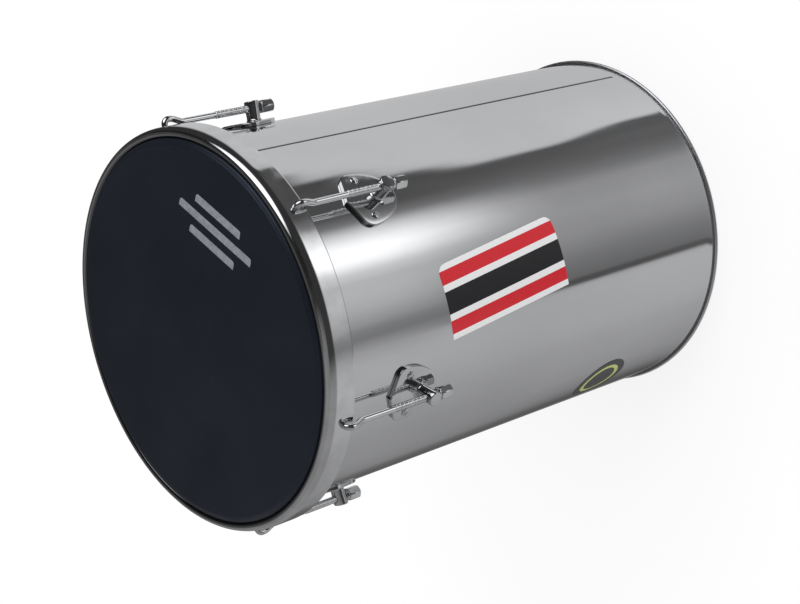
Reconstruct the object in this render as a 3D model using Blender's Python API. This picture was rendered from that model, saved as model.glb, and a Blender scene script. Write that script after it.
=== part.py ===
"""Rebolo: a single-headed samba drum with six tension rods, standing on its open rear rim.

The drum's axis is +Z and the origin is the centre of the rear rim's lowest ring.
Lengths are in metres. A profile is a list of (radius, height) points.
"""

from math import cos, pi, radians, sin, sqrt, tan

import bmesh
import bpy
from mathutils import Matrix, Vector

MM = 0.001

# Fits that several pieces share
TOUCH_GAP = 0.3 * MM
HOLE_CLEARANCE = 0.35 * MM

# Facets of round pieces
ROUND_SIDES = 54
ROD_SIDES = 8
BORE_SIDES = 12

# Shell: a rolled sheet with a curled hem at both ends
SHELL_RADIUS = 150.0 * MM
SHELL_LENGTH = 459.0 * MM
SHELL_WALL = 1.2 * MM
HEM_DIAMETER = 3.6 * MM
HEM_STEP = radians(36)
HEM_TURNS = 7
FLARE_LENGTH = 11.0 * MM
FLARE_WIDTH = 0.4 * MM
SEAM_ANGLE = radians(57.5)
SEAM_WIDTH = 0.7 * MM
SEAM_DEPTH = 0.35 * MM
SEAM_MARGIN = 14.0 * MM

# Head: a skin whose edge is held in a channel, the flesh hoop
SKIN_THICKNESS = 1.1 * MM
COLLAR_DEPTH = 2.2 * MM
COLLAR_FLARE = 3.3 * MM
LEG_DEPTH = 3.4 * MM
FLESH_WALL = 1.1 * MM
FLESH_CLEARANCE = 2.0 * MM
FLESH_INNER_HEIGHT = 3.4 * MM

# Counterhoop: a band whose top edge rolls inwards over the flesh hoop
HEAD_PROUD = 1.0 * MM
HOOP_WALL = 1.6 * MM
HOOP_DEPTH = 25.0 * MM
HOOP_ROLL_RADIUS = 3.6 * MM
HOOP_ROLL_STEP = radians(36)
HOOP_ROLL_STEPS = 4

# Tension stations, evenly spaced round the drum
STATION_COUNT = 6
FIRST_STATION_ANGLE = radians(29)

# Hook rods
ROD_RADIUS = 2.5 * MM
THREAD_RADIUS = 3.0 * MM
ROD_STANDOFF = 1.4 * MM
HOOK_DROP = 16.2 * MM
HOOK_REACH = 4.5 * MM
HOOK_BEND_RADIUS = 4.2 * MM
HOOK_HUMP = 3.7 * MM
HOOK_STRAIGHT = 1.5 * MM
HOOK_SETTLE = 12.5 * MM
THREAD_LENGTH = 55.2 * MM
ROD_END_INSET = 0.8 * MM

# Lug brackets: a curved shield with a round post, cross drilled for the rod
LUG_DROP = 102.2 * MM
PLATE_THICKNESS = 2.8 * MM
PLATE_HALF_WIDTH = 23.2 * MM
PLATE_FRONT = 31.6 * MM
PLATE_CORNER = 23.4 * MM
PLATE_SHOULDER = 15.8 * MM
PLATE_REAR = 15.4 * MM
PLATE_EDGE_ROUND = 0.9 * MM
PLATE_COLUMNS = (0.0, 0.26, 0.52, 0.76, 0.93, 1.0)
POST_TIP_MARGIN = 5.8 * MM
POST_BASE_RADIUS = 5.6 * MM
POST_TIP_RADIUS = 6.0 * MM
POST_TIP_ROUND = 0.8 * MM
POST_LEAN = radians(4.3)
POST_SIDES = 16
SPOT_FACE_DEPTH = 0.8 * MM

# Tension nuts
COLLAR_RADIUS = 4.3 * MM
COLLAR_LENGTH = 3.0 * MM
NUT_ACROSS_FLATS = 10.0 * MM
NUT_LENGTH = 11.2 * MM
NUT_CHAMFER = 0.7 * MM

# Screws that hold the brackets on the shell
SCREW_RADIUS = 1.9 * MM
SCREW_SPREAD = 16.0 * MM
SCREW_RISE = 13.4 * MM
SCREW_HEAD_RADIUS = 3.4 * MM
SCREW_HEAD_HEIGHT = 1.9 * MM
SCREW_DOME_SHARES = ((0.92, 0.55), (0.6, 0.9))
SCREW_DRILL_REACH = 4.8 * MM
SCREW_TAIL = 0.9 * MM
SCREW_SIDES = 8
LOCKNUT_ACROSS_FLATS = 7.0 * MM
LOCKNUT_HEIGHT = 3.0 * MM

# Sizes that follow from the ones above
HEM_CENTRE_LINE = (HEM_DIAMETER - SHELL_WALL) / 2
HEM_FLAT = HEM_CENTRE_LINE * cos(HEM_STEP / 2) + SHELL_WALL / 2
HEM_REACH = HEM_CENTRE_LINE + SHELL_WALL / 2 / cos(HEM_STEP / 2)
HEM_CENTRE_RADIUS = SHELL_RADIUS - SHELL_WALL / 2 + HEM_CENTRE_LINE
HEM_OUTER_RADIUS = HEM_CENTRE_RADIUS + HEM_REACH
BEARING_CENTRE_HEIGHT = SHELL_LENGTH - HEM_FLAT

SKIN_BEND = HEM_REACH + TOUCH_GAP + SKIN_THICKNESS / 2
SKIN_LEVEL = BEARING_CENTRE_HEIGHT + SKIN_BEND
HEAD_TOP = SKIN_LEVEL + SKIN_THICKNESS / 2
FLESH_INNER_RADIUS = HEM_OUTER_RADIUS + FLESH_CLEARANCE + FLESH_WALL / 2
LEG_RADIUS = FLESH_INNER_RADIUS + FLESH_WALL / 2 + TOUCH_GAP + SKIN_THICKNESS / 2
FLESH_OUTER_RADIUS = LEG_RADIUS + SKIN_THICKNESS / 2 + TOUCH_GAP + FLESH_WALL / 2
LEG_TOP = BEARING_CENTRE_HEIGHT - COLLAR_DEPTH - COLLAR_FLARE
LEG_BOTTOM = LEG_TOP - LEG_DEPTH
FLESH_FLOOR = LEG_BOTTOM - TOUCH_GAP - FLESH_WALL / 2

HOOP_TOP = HEAD_TOP - HEAD_PROUD
HOOP_BOTTOM = HOOP_TOP - HOOP_DEPTH
HOOP_ROLL_CENTRE_RADIUS = FLESH_OUTER_RADIUS
HOOP_BAND_RADIUS = HOOP_ROLL_CENTRE_RADIUS + HOOP_ROLL_RADIUS
HOOP_RADIUS = HOOP_BAND_RADIUS + HOOP_WALL / 2
HOOP_ROLL_FLAT = HOOP_ROLL_RADIUS * cos(HOOP_ROLL_STEP / 2)
HOOP_ROLL_CENTRE_HEIGHT = HOOP_TOP - HOOP_ROLL_FLAT - HOOP_WALL / 2
HOOP_UNDERSIDE_REACH = sqrt((HOOP_ROLL_FLAT - HOOP_WALL / 2) ** 2 - (FLESH_WALL / 2) ** 2)
FLESH_TOP = HOOP_ROLL_CENTRE_HEIGHT + HOOP_UNDERSIDE_REACH - TOUCH_GAP

ROD_OFFSET = HOOP_RADIUS + ROD_STANDOFF
HOOK_HEIGHT = HOOP_TOP - HOOK_DROP
HOOK_HOLE_RADIUS = ROD_RADIUS + HOLE_CLEARANCE

LUG_HEIGHT = HOOP_TOP - LUG_DROP
PLATE_INNER_RADIUS = SHELL_RADIUS + TOUCH_GAP
PLATE_OUTER_RADIUS = PLATE_INNER_RADIUS + PLATE_THICKNESS
POST_TIP_OFFSET = ROD_OFFSET + POST_TIP_MARGIN
POST_HOLE_RADIUS = THREAD_RADIUS + HOLE_CLEARANCE
SPOT_FACE_HEIGHT = LUG_HEIGHT - POST_BASE_RADIUS + SPOT_FACE_DEPTH
SPOT_FACE_RADIUS = COLLAR_RADIUS + HOLE_CLEARANCE
NUT_TOP = SPOT_FACE_HEIGHT - TOUCH_GAP
NUT_BORE_RADIUS = THREAD_RADIUS + TOUCH_GAP
NUT_BOTTOM = NUT_TOP - COLLAR_LENGTH - NUT_LENGTH
ROD_END = NUT_BOTTOM + ROD_END_INSET

SCREW_HOLE_RADIUS = SCREW_RADIUS + TOUCH_GAP
SCREW_HEIGHT = LUG_HEIGHT + SCREW_RISE
SCREW_ANGLE = SCREW_SPREAD / SHELL_RADIUS
SCREW_SEAT = PLATE_OUTER_RADIUS + TOUCH_GAP
LOCKNUT_SEAT = (SHELL_RADIUS - SHELL_WALL) * cos(pi / ROUND_SIDES) - TOUCH_GAP
SCREW_TIP = LOCKNUT_SEAT - LOCKNUT_HEIGHT - SCREW_TAIL


def clear_scene():
    """Empty the scene of whatever was in it."""
    for obj in list(bpy.data.objects):
        bpy.data.objects.remove(obj, do_unlink=True)


def make_material(name, colour, metallic, roughness):
    """A Principled material with one colour."""
    material = bpy.data.materials.new(name)
    material.use_nodes = True
    shader = material.node_tree.nodes["Principled BSDF"]
    shader.inputs["Base Color"].default_value = (*colour, 1.0)
    shader.inputs["Metallic"].default_value = metallic
    shader.inputs["Roughness"].default_value = roughness
    return material


def add_object(name, mesh, material=None, parent=None, location=(0, 0, 0), turn=None):
    """Put a mesh in the scene under its own name."""
    obj = bpy.data.objects.new(name, mesh)
    bpy.context.scene.collection.objects.link(obj)
    if material:
        obj.data.materials.clear()
        obj.data.materials.append(material)
    obj.parent = parent
    obj.location = location
    if turn:
        obj.rotation_euler = turn
    return obj


def finish_mesh(bm, name, smooth_angle=radians(35)):
    """Turn the faces outwards and shade the round ones smooth."""
    bmesh.ops.recalc_face_normals(bm, faces=bm.faces)
    mesh = bpy.data.meshes.new(name)
    bm.to_mesh(mesh)
    bm.free()
    mesh.shade_smooth()
    mesh.set_sharp_from_angle(angle=smooth_angle)
    return mesh


def arc(centre, radius, start, step, count):
    """Points on a round stretch of a profile, with both ends."""
    points = []
    for index in range(count + 1):
        angle = start + step * index
        points.append((centre[0] + radius * cos(angle), centre[1] + radius * sin(angle)))
    return points


def sheet_outline(path, thickness):
    """The closed outline of a sheet that follows a path, half its thickness to each side."""
    left = []
    right = []
    for index, point in enumerate(path):
        before = path[max(index - 1, 0)]
        after = path[min(index + 1, len(path) - 1)]
        first = Vector((point[0] - before[0], point[1] - before[1]))
        second = Vector((after[0] - point[0], after[1] - point[1]))
        first = first.normalized() if first.length > 0 else second.normalized()
        second = second.normalized() if second.length > 0 else first
        along = (first + second).normalized()
        normal = Vector((-along.y, along.x))
        mitre = thickness / 2 / max(along.dot(first), 0.5)
        left.append((point[0] + normal.x * mitre, point[1] + normal.y * mitre))
        right.append((point[0] - normal.x * mitre, point[1] - normal.y * mitre))
    return left + right[::-1]


def stack_rings(bm, rings, closed):
    """Join rings of vertices with faces, one ring to the next. A ring of one vertex is a pole."""
    pairs = list(zip(rings, rings[1:]))
    if closed:
        pairs.append((rings[-1], rings[0]))
    for lower, upper in pairs:
        count = max(len(lower), len(upper))
        if len(lower) == len(upper) == 1:
            continue
        for index in range(count):
            following = (index + 1) % count
            if len(lower) == 1:
                bm.faces.new((lower[0], upper[following], upper[index]))
            elif len(upper) == 1:
                bm.faces.new((lower[index], lower[following], upper[0]))
            else:
                bm.faces.new((lower[index], lower[following], upper[following], upper[index]))


def revolve(name, outline, sides, smooth_angle=radians(35)):
    """Turn a closed outline of (radius, height) points about Z."""
    bm = bmesh.new()
    rings = []
    for radius, height in outline:
        if radius < 1e-9:
            rings.append([bm.verts.new((0, 0, height))])
            continue
        ring = []
        for index in range(sides):
            angle = 2 * pi * index / sides
            ring.append(bm.verts.new((radius * cos(angle), radius * sin(angle), height)))
        rings.append(ring)
    stack_rings(bm, rings, closed=True)
    return finish_mesh(bm, name, smooth_angle)


def hexagon_radius(across_flats, angle):
    """How far a hexagon's side lies from its centre in one direction."""
    sector = (angle + pi / 6) % (pi / 3) - pi / 6
    return across_flats / 2 / cos(sector)


def turned_nut(name, levels):
    """A ring-shaped solid from (height, radius, across flats) levels.

    Where across flats is None the level is round, and otherwise it is a hexagon
    whose corners are cut back to the radius, if a radius is given.
    """
    bm = bmesh.new()
    rings = []
    for height, radius, across_flats in levels:
        ring = []
        for index in range(BORE_SIDES):
            angle = 2 * pi * index / BORE_SIDES
            reach = radius
            if across_flats:
                reach = hexagon_radius(across_flats, angle)
                reach = min(reach, radius) if radius else reach
            ring.append(bm.verts.new((reach * cos(angle), reach * sin(angle), height)))
        rings.append(ring)
    stack_rings(bm, rings, closed=True)
    return finish_mesh(bm, name)


def swept_rod(name, path, sides):
    """A round bar along a path of (x, z, radius) points in the XZ plane, closed at both ends."""
    bm = bmesh.new()
    rings = []
    for index, (x, z, radius) in enumerate(path):
        before = path[max(index - 1, 0)]
        after = path[min(index + 1, len(path) - 1)]
        along = Vector((after[0] - before[0], 0, after[1] - before[1])).normalized()
        across = Vector((0, 1, 0))
        outwards = along.cross(across)
        ring = []
        for side in range(sides):
            angle = 2 * pi * side / sides
            offset = (across * cos(angle) + outwards * sin(angle)) * radius
            ring.append(bm.verts.new(Vector((x, 0, z)) + offset))
        rings.append(ring)
    stack_rings(bm, rings, closed=False)
    bm.faces.new(rings[0][::-1])
    bm.faces.new(rings[-1])
    return finish_mesh(bm, name)


def cylinder_between(bm, start, end, radius, sides):
    """Add a closed cylinder from one point to another."""
    start = Vector(start)
    axis = Vector(end) - start
    turn = axis.to_track_quat("Z", "Y").to_matrix().to_4x4()
    place = Matrix.Translation(start + axis / 2) @ turn
    bmesh.ops.create_cone(
        bm,
        cap_ends=True,
        segments=sides,
        radius1=radius,
        radius2=radius,
        depth=axis.length,
        matrix=place,
    )


def make_cutter(name, bm):
    """An object that only cuts others: hidden in renders and drawn as wire."""
    mesh = finish_mesh(bm, name)
    obj = add_object(name, mesh)
    obj.hide_render = True
    obj.display_type = "WIRE"
    return obj


def add_boolean(obj, other, operation):
    """A Boolean modifier with the exact solver."""
    modifier = obj.modifiers.new(other.name, "BOOLEAN")
    modifier.operation = operation
    modifier.solver = "EXACT"
    modifier.object = other


def baked_mesh(obj, name):
    """The object's mesh with its modifiers applied; the object is taken away."""
    depsgraph = bpy.context.evaluated_depsgraph_get()
    mesh = bpy.data.meshes.new_from_object(obj.evaluated_get(depsgraph))
    mesh.name = name
    bpy.data.objects.remove(obj, do_unlink=True)
    mesh.shade_smooth()
    mesh.set_sharp_from_angle(angle=radians(35))
    return mesh


def radial_point(radius, angle, height):
    """A point given by its radius and angle round the drum."""
    return (radius * cos(angle), radius * sin(angle), height)


def station_angle(index):
    """The angle of one tension station."""
    return FIRST_STATION_ANGLE + 2 * pi * index / STATION_COUNT


def shell_path():
    """The sheet's centre line, from the rear hem's free edge to the bearing hem's free edge."""
    flared_centre = HEM_CENTRE_RADIUS + FLARE_WIDTH
    rear = arc((flared_centre, HEM_FLAT), HEM_CENTRE_LINE, pi, HEM_STEP, HEM_TURNS)
    wall_radius = SHELL_RADIUS - SHELL_WALL / 2
    wall = [
        (wall_radius + FLARE_WIDTH / 4, HEM_FLAT + FLARE_LENGTH / 2),
        (wall_radius, HEM_FLAT + FLARE_LENGTH),
    ]
    bearing_centre = (HEM_CENTRE_RADIUS, BEARING_CENTRE_HEIGHT)
    bearing = arc(bearing_centre, HEM_CENTRE_LINE, pi, -HEM_STEP, HEM_TURNS)
    return rear[::-1] + wall + bearing


def make_shell(material):
    """The rolled shell, its seam and the holes for the bracket screws."""
    mesh = revolve("shell", sheet_outline(shell_path(), SHELL_WALL), ROUND_SIDES)
    shell = add_object("shell", mesh, material)

    bm = bmesh.new()
    for index in range(STATION_COUNT):
        for side in (-1, 1):
            angle = station_angle(index) + side * SCREW_ANGLE
            inner = radial_point(SHELL_RADIUS - SCREW_DRILL_REACH, angle, SCREW_HEIGHT)
            outer = radial_point(SHELL_RADIUS + SCREW_DRILL_REACH, angle, SCREW_HEIGHT)
            cylinder_between(bm, inner, outer, SCREW_HOLE_RADIUS, SCREW_SIDES)
    add_boolean(shell, make_cutter("shell_hole_cutter", bm), "DIFFERENCE")

    groove_depth = 2 * SEAM_DEPTH
    groove_length = SHELL_LENGTH - 2 * SEAM_MARGIN
    centre = radial_point(SHELL_RADIUS, SEAM_ANGLE, SHELL_LENGTH / 2)
    place = Matrix.Translation(centre) @ Matrix.Rotation(SEAM_ANGLE, 4, "Z")
    size = Matrix.Diagonal((groove_depth, SEAM_WIDTH, groove_length, 1))
    bm = bmesh.new()
    bmesh.ops.create_cube(bm, size=1, matrix=place @ size)
    add_boolean(shell, make_cutter("seam_cutter", bm), "DIFFERENCE")
    return shell


def make_head_skin(material):
    """The skin: flat over the bearing hem, down its collar and into the flesh hoop."""
    bend = arc((HEM_CENTRE_RADIUS, BEARING_CENTRE_HEIGHT), SKIN_BEND, pi / 2, -pi / 6, 3)
    collar_radius = bend[-1][0]
    path = [(0, SKIN_LEVEL)]
    path += bend
    path.append((collar_radius, BEARING_CENTRE_HEIGHT - COLLAR_DEPTH))
    path.append((LEG_RADIUS, LEG_TOP))
    path.append((LEG_RADIUS, LEG_BOTTOM))
    mesh = revolve("head_skin", sheet_outline(path, SKIN_THICKNESS), ROUND_SIDES)
    return add_object("head_skin", mesh, material)


def make_flesh_hoop(material):
    """The channel that grips the skin's edge, under the counterhoop's rolled edge."""
    path = [
        (FLESH_INNER_RADIUS, FLESH_FLOOR + FLESH_INNER_HEIGHT),
        (FLESH_INNER_RADIUS, FLESH_FLOOR),
        (FLESH_OUTER_RADIUS, FLESH_FLOOR),
        (FLESH_OUTER_RADIUS, FLESH_TOP),
    ]
    mesh = revolve("flesh_hoop", sheet_outline(path, FLESH_WALL), ROUND_SIDES)
    return add_object("flesh_hoop", mesh, material)


def make_counterhoop(material):
    """The band with its rolled top edge, and a hole for each hook."""
    centre = (HOOP_ROLL_CENTRE_RADIUS, HOOP_ROLL_CENTRE_HEIGHT)
    path = [(HOOP_BAND_RADIUS, HOOP_BOTTOM)]
    path += arc(centre, HOOP_ROLL_RADIUS, 0, HOOP_ROLL_STEP, HOOP_ROLL_STEPS)
    mesh = revolve("counterhoop", sheet_outline(path, HOOP_WALL), ROUND_SIDES)
    hoop = add_object("counterhoop", mesh, material)

    bm = bmesh.new()
    for index in range(STATION_COUNT):
        angle = station_angle(index)
        inner = radial_point(HOOP_RADIUS - 3 * HOOP_WALL, angle, HOOK_HEIGHT)
        outer = radial_point(HOOP_RADIUS + 3 * HOOP_WALL, angle, HOOK_HEIGHT)
        cylinder_between(bm, inner, outer, HOOK_HOLE_RADIUS, BORE_SIDES)
    add_boolean(hoop, make_cutter("hook_hole_cutter", bm), "DIFFERENCE")
    return hoop


def hook_rod_path():
    """The rod's centre line and radius, from the hook's tip to the threaded end."""
    hump_radius = ROD_OFFSET + HOOK_HUMP
    bend_radius_centre = hump_radius - HOOK_BEND_RADIUS
    bend_height_centre = HOOK_HEIGHT - HOOK_BEND_RADIUS
    tip = HOOP_RADIUS - HOOP_WALL - HOOK_REACH
    chamfer = ROD_RADIUS / 4
    path = [
        (tip, HOOK_HEIGHT, ROD_RADIUS - chamfer),
        (tip + chamfer, HOOK_HEIGHT, ROD_RADIUS),
    ]
    centre = (bend_radius_centre, bend_height_centre)
    for x, z in arc(centre, HOOK_BEND_RADIUS, pi / 2, -pi / 8, 4):
        path.append((x, z, ROD_RADIUS))
    settle_steps = 5
    settle_top = bend_height_centre - HOOK_STRAIGHT
    for step in range(settle_steps + 1):
        share = step / settle_steps
        x = ROD_OFFSET + HOOK_HUMP * (1 + cos(pi * share)) / 2
        path.append((x, settle_top - HOOK_SETTLE * share, ROD_RADIUS))
    thread_top = ROD_END + THREAD_LENGTH
    path.append((ROD_OFFSET, thread_top + chamfer, ROD_RADIUS))
    path.append((ROD_OFFSET, thread_top, THREAD_RADIUS))
    path.append((ROD_OFFSET, ROD_END + chamfer, THREAD_RADIUS))
    path.append((ROD_OFFSET, ROD_END, THREAD_RADIUS - chamfer))
    return path


def plate_section(share):
    """One cross-section of the shield, from its front edge to its rear edge.

    share runs from 0 at the middle to 1 at the side. The front edge is a shallow
    chevron and the rear edge is half an ellipse.
    """
    front = PLATE_FRONT + (PLATE_CORNER - PLATE_FRONT) * share
    rear = PLATE_SHOULDER - (PLATE_SHOULDER + PLATE_REAR) * sqrt(max(1 - share * share, 0))
    corner_round = PLATE_EDGE_ROUND * 2 * max(share - PLATE_COLUMNS[-2], 0) / (1 - PLATE_COLUMNS[-2])
    front -= corner_round
    rise = min(PLATE_EDGE_ROUND, (front - rear) / 3)
    top = PLATE_THICKNESS - (PLATE_EDGE_ROUND if share == 1 else 0)
    return (
        (front, 0),
        (front, PLATE_THICKNESS - PLATE_EDGE_ROUND),
        (front - rise, top),
        (rear + rise, top),
        (rear, PLATE_THICKNESS - PLATE_EDGE_ROUND),
        (rear, 0),
    )


def make_plate():
    """The shield, bent round the shell."""
    bm = bmesh.new()
    shares = [-share for share in PLATE_COLUMNS[:0:-1]] + list(PLATE_COLUMNS)
    rings = []
    for share in shares:
        angle = share * PLATE_HALF_WIDTH / SHELL_RADIUS
        ring = []
        for rise, thickness in plate_section(abs(share)):
            point = radial_point(PLATE_INNER_RADIUS + thickness, angle, LUG_HEIGHT + rise)
            ring.append(bm.verts.new(point))
        rings.append(ring)
    stack_rings(bm, rings, closed=False)
    bm.faces.new(rings[0][::-1])
    bm.faces.new(rings[-1])
    bmesh.ops.remove_doubles(bm, verts=bm.verts, dist=1e-7)
    return add_object("plate", finish_mesh(bm, "plate"))


def make_post():
    """The round post that the rod passes through, leaning slightly to the rear."""
    foot = PLATE_INNER_RADIUS + PLATE_THICKNESS / 2
    levels = (
        (foot, POST_BASE_RADIUS),
        (POST_TIP_OFFSET - POST_TIP_ROUND, POST_TIP_RADIUS),
        (POST_TIP_OFFSET, POST_TIP_RADIUS - POST_TIP_ROUND),
    )
    bm = bmesh.new()
    rings = []
    for offset, radius in levels:
        centre = LUG_HEIGHT - (offset - ROD_OFFSET) * tan(POST_LEAN)
        ring = []
        for index in range(POST_SIDES):
            angle = 2 * pi * (index + 0.5) / POST_SIDES
            ring.append(bm.verts.new((offset, radius * cos(angle), centre + radius * sin(angle))))
        rings.append(ring)
    stack_rings(bm, rings, closed=False)
    bm.faces.new(rings[0][::-1])
    bm.faces.new(rings[-1])
    return add_object("post", finish_mesh(bm, "post"))


def lug_bracket_mesh():
    """One bracket at angle 0: shield and post as one casting, drilled and spot-faced."""
    plate = make_plate()
    post = make_post()
    add_boolean(plate, post, "UNION")
    casting = add_object("casting", baked_mesh(plate, "casting"))
    bpy.data.objects.remove(post, do_unlink=True)

    bm = bmesh.new()
    reach = 2 * POST_TIP_RADIUS
    top = (ROD_OFFSET, 0, LUG_HEIGHT + reach)
    bottom = (ROD_OFFSET, 0, LUG_HEIGHT - reach)
    cylinder_between(bm, bottom, top, POST_HOLE_RADIUS, BORE_SIDES)
    drill = make_cutter("rod_drill", bm)

    bm = bmesh.new()
    face = (ROD_OFFSET, 0, SPOT_FACE_HEIGHT)
    cylinder_between(bm, bottom, face, SPOT_FACE_RADIUS, BORE_SIDES)
    spot_face = make_cutter("spot_face_cutter", bm)

    bm = bmesh.new()
    for side in (-1, 1):
        angle = side * SCREW_ANGLE
        inner = radial_point(PLATE_INNER_RADIUS - PLATE_THICKNESS, angle, SCREW_HEIGHT)
        outer = radial_point(PLATE_OUTER_RADIUS + PLATE_THICKNESS, angle, SCREW_HEIGHT)
        cylinder_between(bm, inner, outer, SCREW_HOLE_RADIUS, SCREW_SIDES)
    screw_drill = make_cutter("screw_drill", bm)

    cutters = (drill, spot_face, screw_drill)
    for cutter in cutters:
        add_boolean(casting, cutter, "DIFFERENCE")
    mesh = baked_mesh(casting, "lug_bracket")
    for cutter in cutters:
        bpy.data.objects.remove(cutter, do_unlink=True)
    return mesh


def tension_nut_mesh():
    """A long hexagon nut with a round collar, its origin at the collar's face."""
    hexagon_top = -COLLAR_LENGTH
    hexagon_bottom = hexagon_top - NUT_LENGTH
    corner = hexagon_radius(NUT_ACROSS_FLATS, pi / 6)
    levels = (
        (0, NUT_BORE_RADIUS, None),
        (0, COLLAR_RADIUS, None),
        (hexagon_top, COLLAR_RADIUS, None),
        (hexagon_top, NUT_ACROSS_FLATS / 2, None),
        (hexagon_top - (corner - NUT_ACROSS_FLATS / 2), None, NUT_ACROSS_FLATS),
        (hexagon_bottom + NUT_CHAMFER, None, NUT_ACROSS_FLATS),
        (hexagon_bottom, NUT_ACROSS_FLATS / 2 - NUT_CHAMFER / 2, None),
        (hexagon_bottom, NUT_BORE_RADIUS, None),
    )
    return turned_nut("tension_nut", levels)


def lug_screw_mesh():
    """A round-headed screw with its origin under its head and its tip at -Z."""
    length = SCREW_SEAT - SCREW_TIP
    outline = [
        (0, -length),
        (SCREW_RADIUS, -length),
        (SCREW_RADIUS, 0),
        (SCREW_HEAD_RADIUS, 0),
    ]
    for across, rise in SCREW_DOME_SHARES:
        outline.append((SCREW_HEAD_RADIUS * across, SCREW_HEAD_HEIGHT * rise))
    outline.append((0, SCREW_HEAD_HEIGHT))
    return revolve("lug_screw", outline, SCREW_SIDES, radians(50))


def locknut_mesh():
    """A hexagon nut inside the shell, its origin at the face that meets the wall."""
    bore = SCREW_HOLE_RADIUS
    levels = (
        (0, bore, None),
        (0, None, LOCKNUT_ACROSS_FLATS),
        (-LOCKNUT_HEIGHT, None, LOCKNUT_ACROSS_FLATS),
        (-LOCKNUT_HEIGHT, bore, None),
    )
    return turned_nut("locknut", levels)


def add_station(index, meshes, materials):
    """One tension station: bracket, rod, nut, and two screws with their inner nuts."""
    number = index + 1
    station = bpy.data.objects.new(f"station_{number}", None)
    bpy.context.scene.collection.objects.link(station)
    station.rotation_euler = (0, 0, station_angle(index))
    chrome = materials["chrome"]
    add_object(f"lug_bracket_{number}", meshes["bracket"], chrome, station)
    add_object(f"hook_rod_{number}", meshes["rod"], chrome, station)
    nut_place = (ROD_OFFSET, 0, NUT_TOP)
    add_object(f"tension_nut_{number}", meshes["nut"], chrome, station, nut_place)
    for letter, side in (("a", -1), ("b", 1)):
        angle = side * SCREW_ANGLE
        turn = (0, pi / 2, angle)
        head = radial_point(SCREW_SEAT, angle, SCREW_HEIGHT)
        add_object(f"lug_screw_{number}{letter}", meshes["screw"], chrome, station, head, turn)
        seat = radial_point(LOCKNUT_SEAT, angle, SCREW_HEIGHT)
        add_object(f"screw_nut_{number}{letter}", meshes["locknut"], materials["zinc"], station, seat, turn)


def main():
    """Build the whole drum."""
    clear_scene()
    materials = {
        "polished": make_material("polished_shell", (0.78, 0.78, 0.80), 1.0, 0.12),
        "chrome": make_material("chrome_hardware", (0.80, 0.80, 0.82), 1.0, 0.08),
        "zinc": make_material("zinc_nut", (0.62, 0.63, 0.65), 1.0, 0.35),
        "skin": make_material("black_skin", (0.018, 0.020, 0.026), 0.0, 0.5),
        "channel": make_material("flesh_channel", (0.70, 0.70, 0.72), 1.0, 0.3),
    }
    make_shell(materials["polished"])
    make_head_skin(materials["skin"])
    make_flesh_hoop(materials["channel"])
    make_counterhoop(materials["chrome"])
    meshes = {
        "bracket": lug_bracket_mesh(),
        "rod": swept_rod("hook_rod", hook_rod_path(), ROD_SIDES),
        "nut": tension_nut_mesh(),
        "screw": lug_screw_mesh(),
        "locknut": locknut_mesh(),
    }
    for index in range(STATION_COUNT):
        add_station(index, meshes, materials)


main()
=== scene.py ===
"""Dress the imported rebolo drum: polished shell, black head, chrome tension gear and a studio.

Lengths are in metres. The drum's axis is +Z and it stands on its open rear rim.
"""

from math import atan2, cos, pi, radians, sin, sqrt, tan
from types import SimpleNamespace

import bmesh
import bpy
from bpy.props import FloatProperty, FloatVectorProperty, IntProperty, PointerProperty
from bpy.types import Operator, Panel, PropertyGroup
from mathutils import Matrix, Vector


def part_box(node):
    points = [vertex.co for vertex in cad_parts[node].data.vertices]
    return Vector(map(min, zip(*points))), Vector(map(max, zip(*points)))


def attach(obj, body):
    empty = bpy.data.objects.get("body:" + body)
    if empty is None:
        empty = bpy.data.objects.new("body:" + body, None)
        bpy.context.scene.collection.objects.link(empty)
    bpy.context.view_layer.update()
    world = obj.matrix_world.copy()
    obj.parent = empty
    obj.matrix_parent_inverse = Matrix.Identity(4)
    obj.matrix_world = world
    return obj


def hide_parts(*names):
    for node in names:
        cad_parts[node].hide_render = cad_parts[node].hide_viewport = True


bl_info = {
    "name": "Rebolo drum",
    "version": (1, 0, 0),
    "blender": (4, 5, 0),
    "location": "3D View > Sidebar > Rebolo",
    "description": "Builds the visible pieces of a rebolo drum round its packed solids",
    "category": "Add Mesh",
}

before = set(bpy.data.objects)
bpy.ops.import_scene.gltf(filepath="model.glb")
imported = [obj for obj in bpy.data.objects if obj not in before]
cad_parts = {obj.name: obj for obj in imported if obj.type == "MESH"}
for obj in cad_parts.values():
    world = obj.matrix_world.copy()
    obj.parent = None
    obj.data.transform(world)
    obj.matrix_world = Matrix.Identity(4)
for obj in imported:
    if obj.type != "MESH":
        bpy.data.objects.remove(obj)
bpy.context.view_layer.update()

MM = 0.001
TURN = 2 * pi
SMOOTH_LIMIT = radians(32)
SHELL_SMOOTH_LIMIT = radians(24)
SHELL_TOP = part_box("shell")[1].z
HEAD_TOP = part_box("head_skin")[1].z
STATION_NUMBERS = range(1, 7)

# What the Geometry Nodes trees call the kinds of their inputs
SOCKETS = {
    int: "NodeSocketInt",
    float: "NodeSocketFloat",
    tuple: "NodeSocketVector",
    bpy.types.Material: "NodeSocketMaterial",
}

# How far a hem curls, and its facets
HEM_TURN = radians(252)
HEM_STEPS = 21

# Where the film's shoulder begins and ends, from the axis
FILM_SHOULDER = (0.1488, 0.1522)

# The room that a hole leaves round a rod or a collar
DRILL_CLEARANCE = 0.35 * MM

# A label's or a shield's corner that turns by less than this stays as it is
SHALLOW_CORNER = radians(12)

# The longest side between two points of a shield's outline, and of a label's
SHIELD_PITCH = 1.1 * MM
LABEL_PITCH = 1.5 * MM

# How high a label lies over the shell, and the corners of the long one
LABEL_LIFT = 0.05 * MM
LABEL_CORNER = 9 * MM

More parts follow.
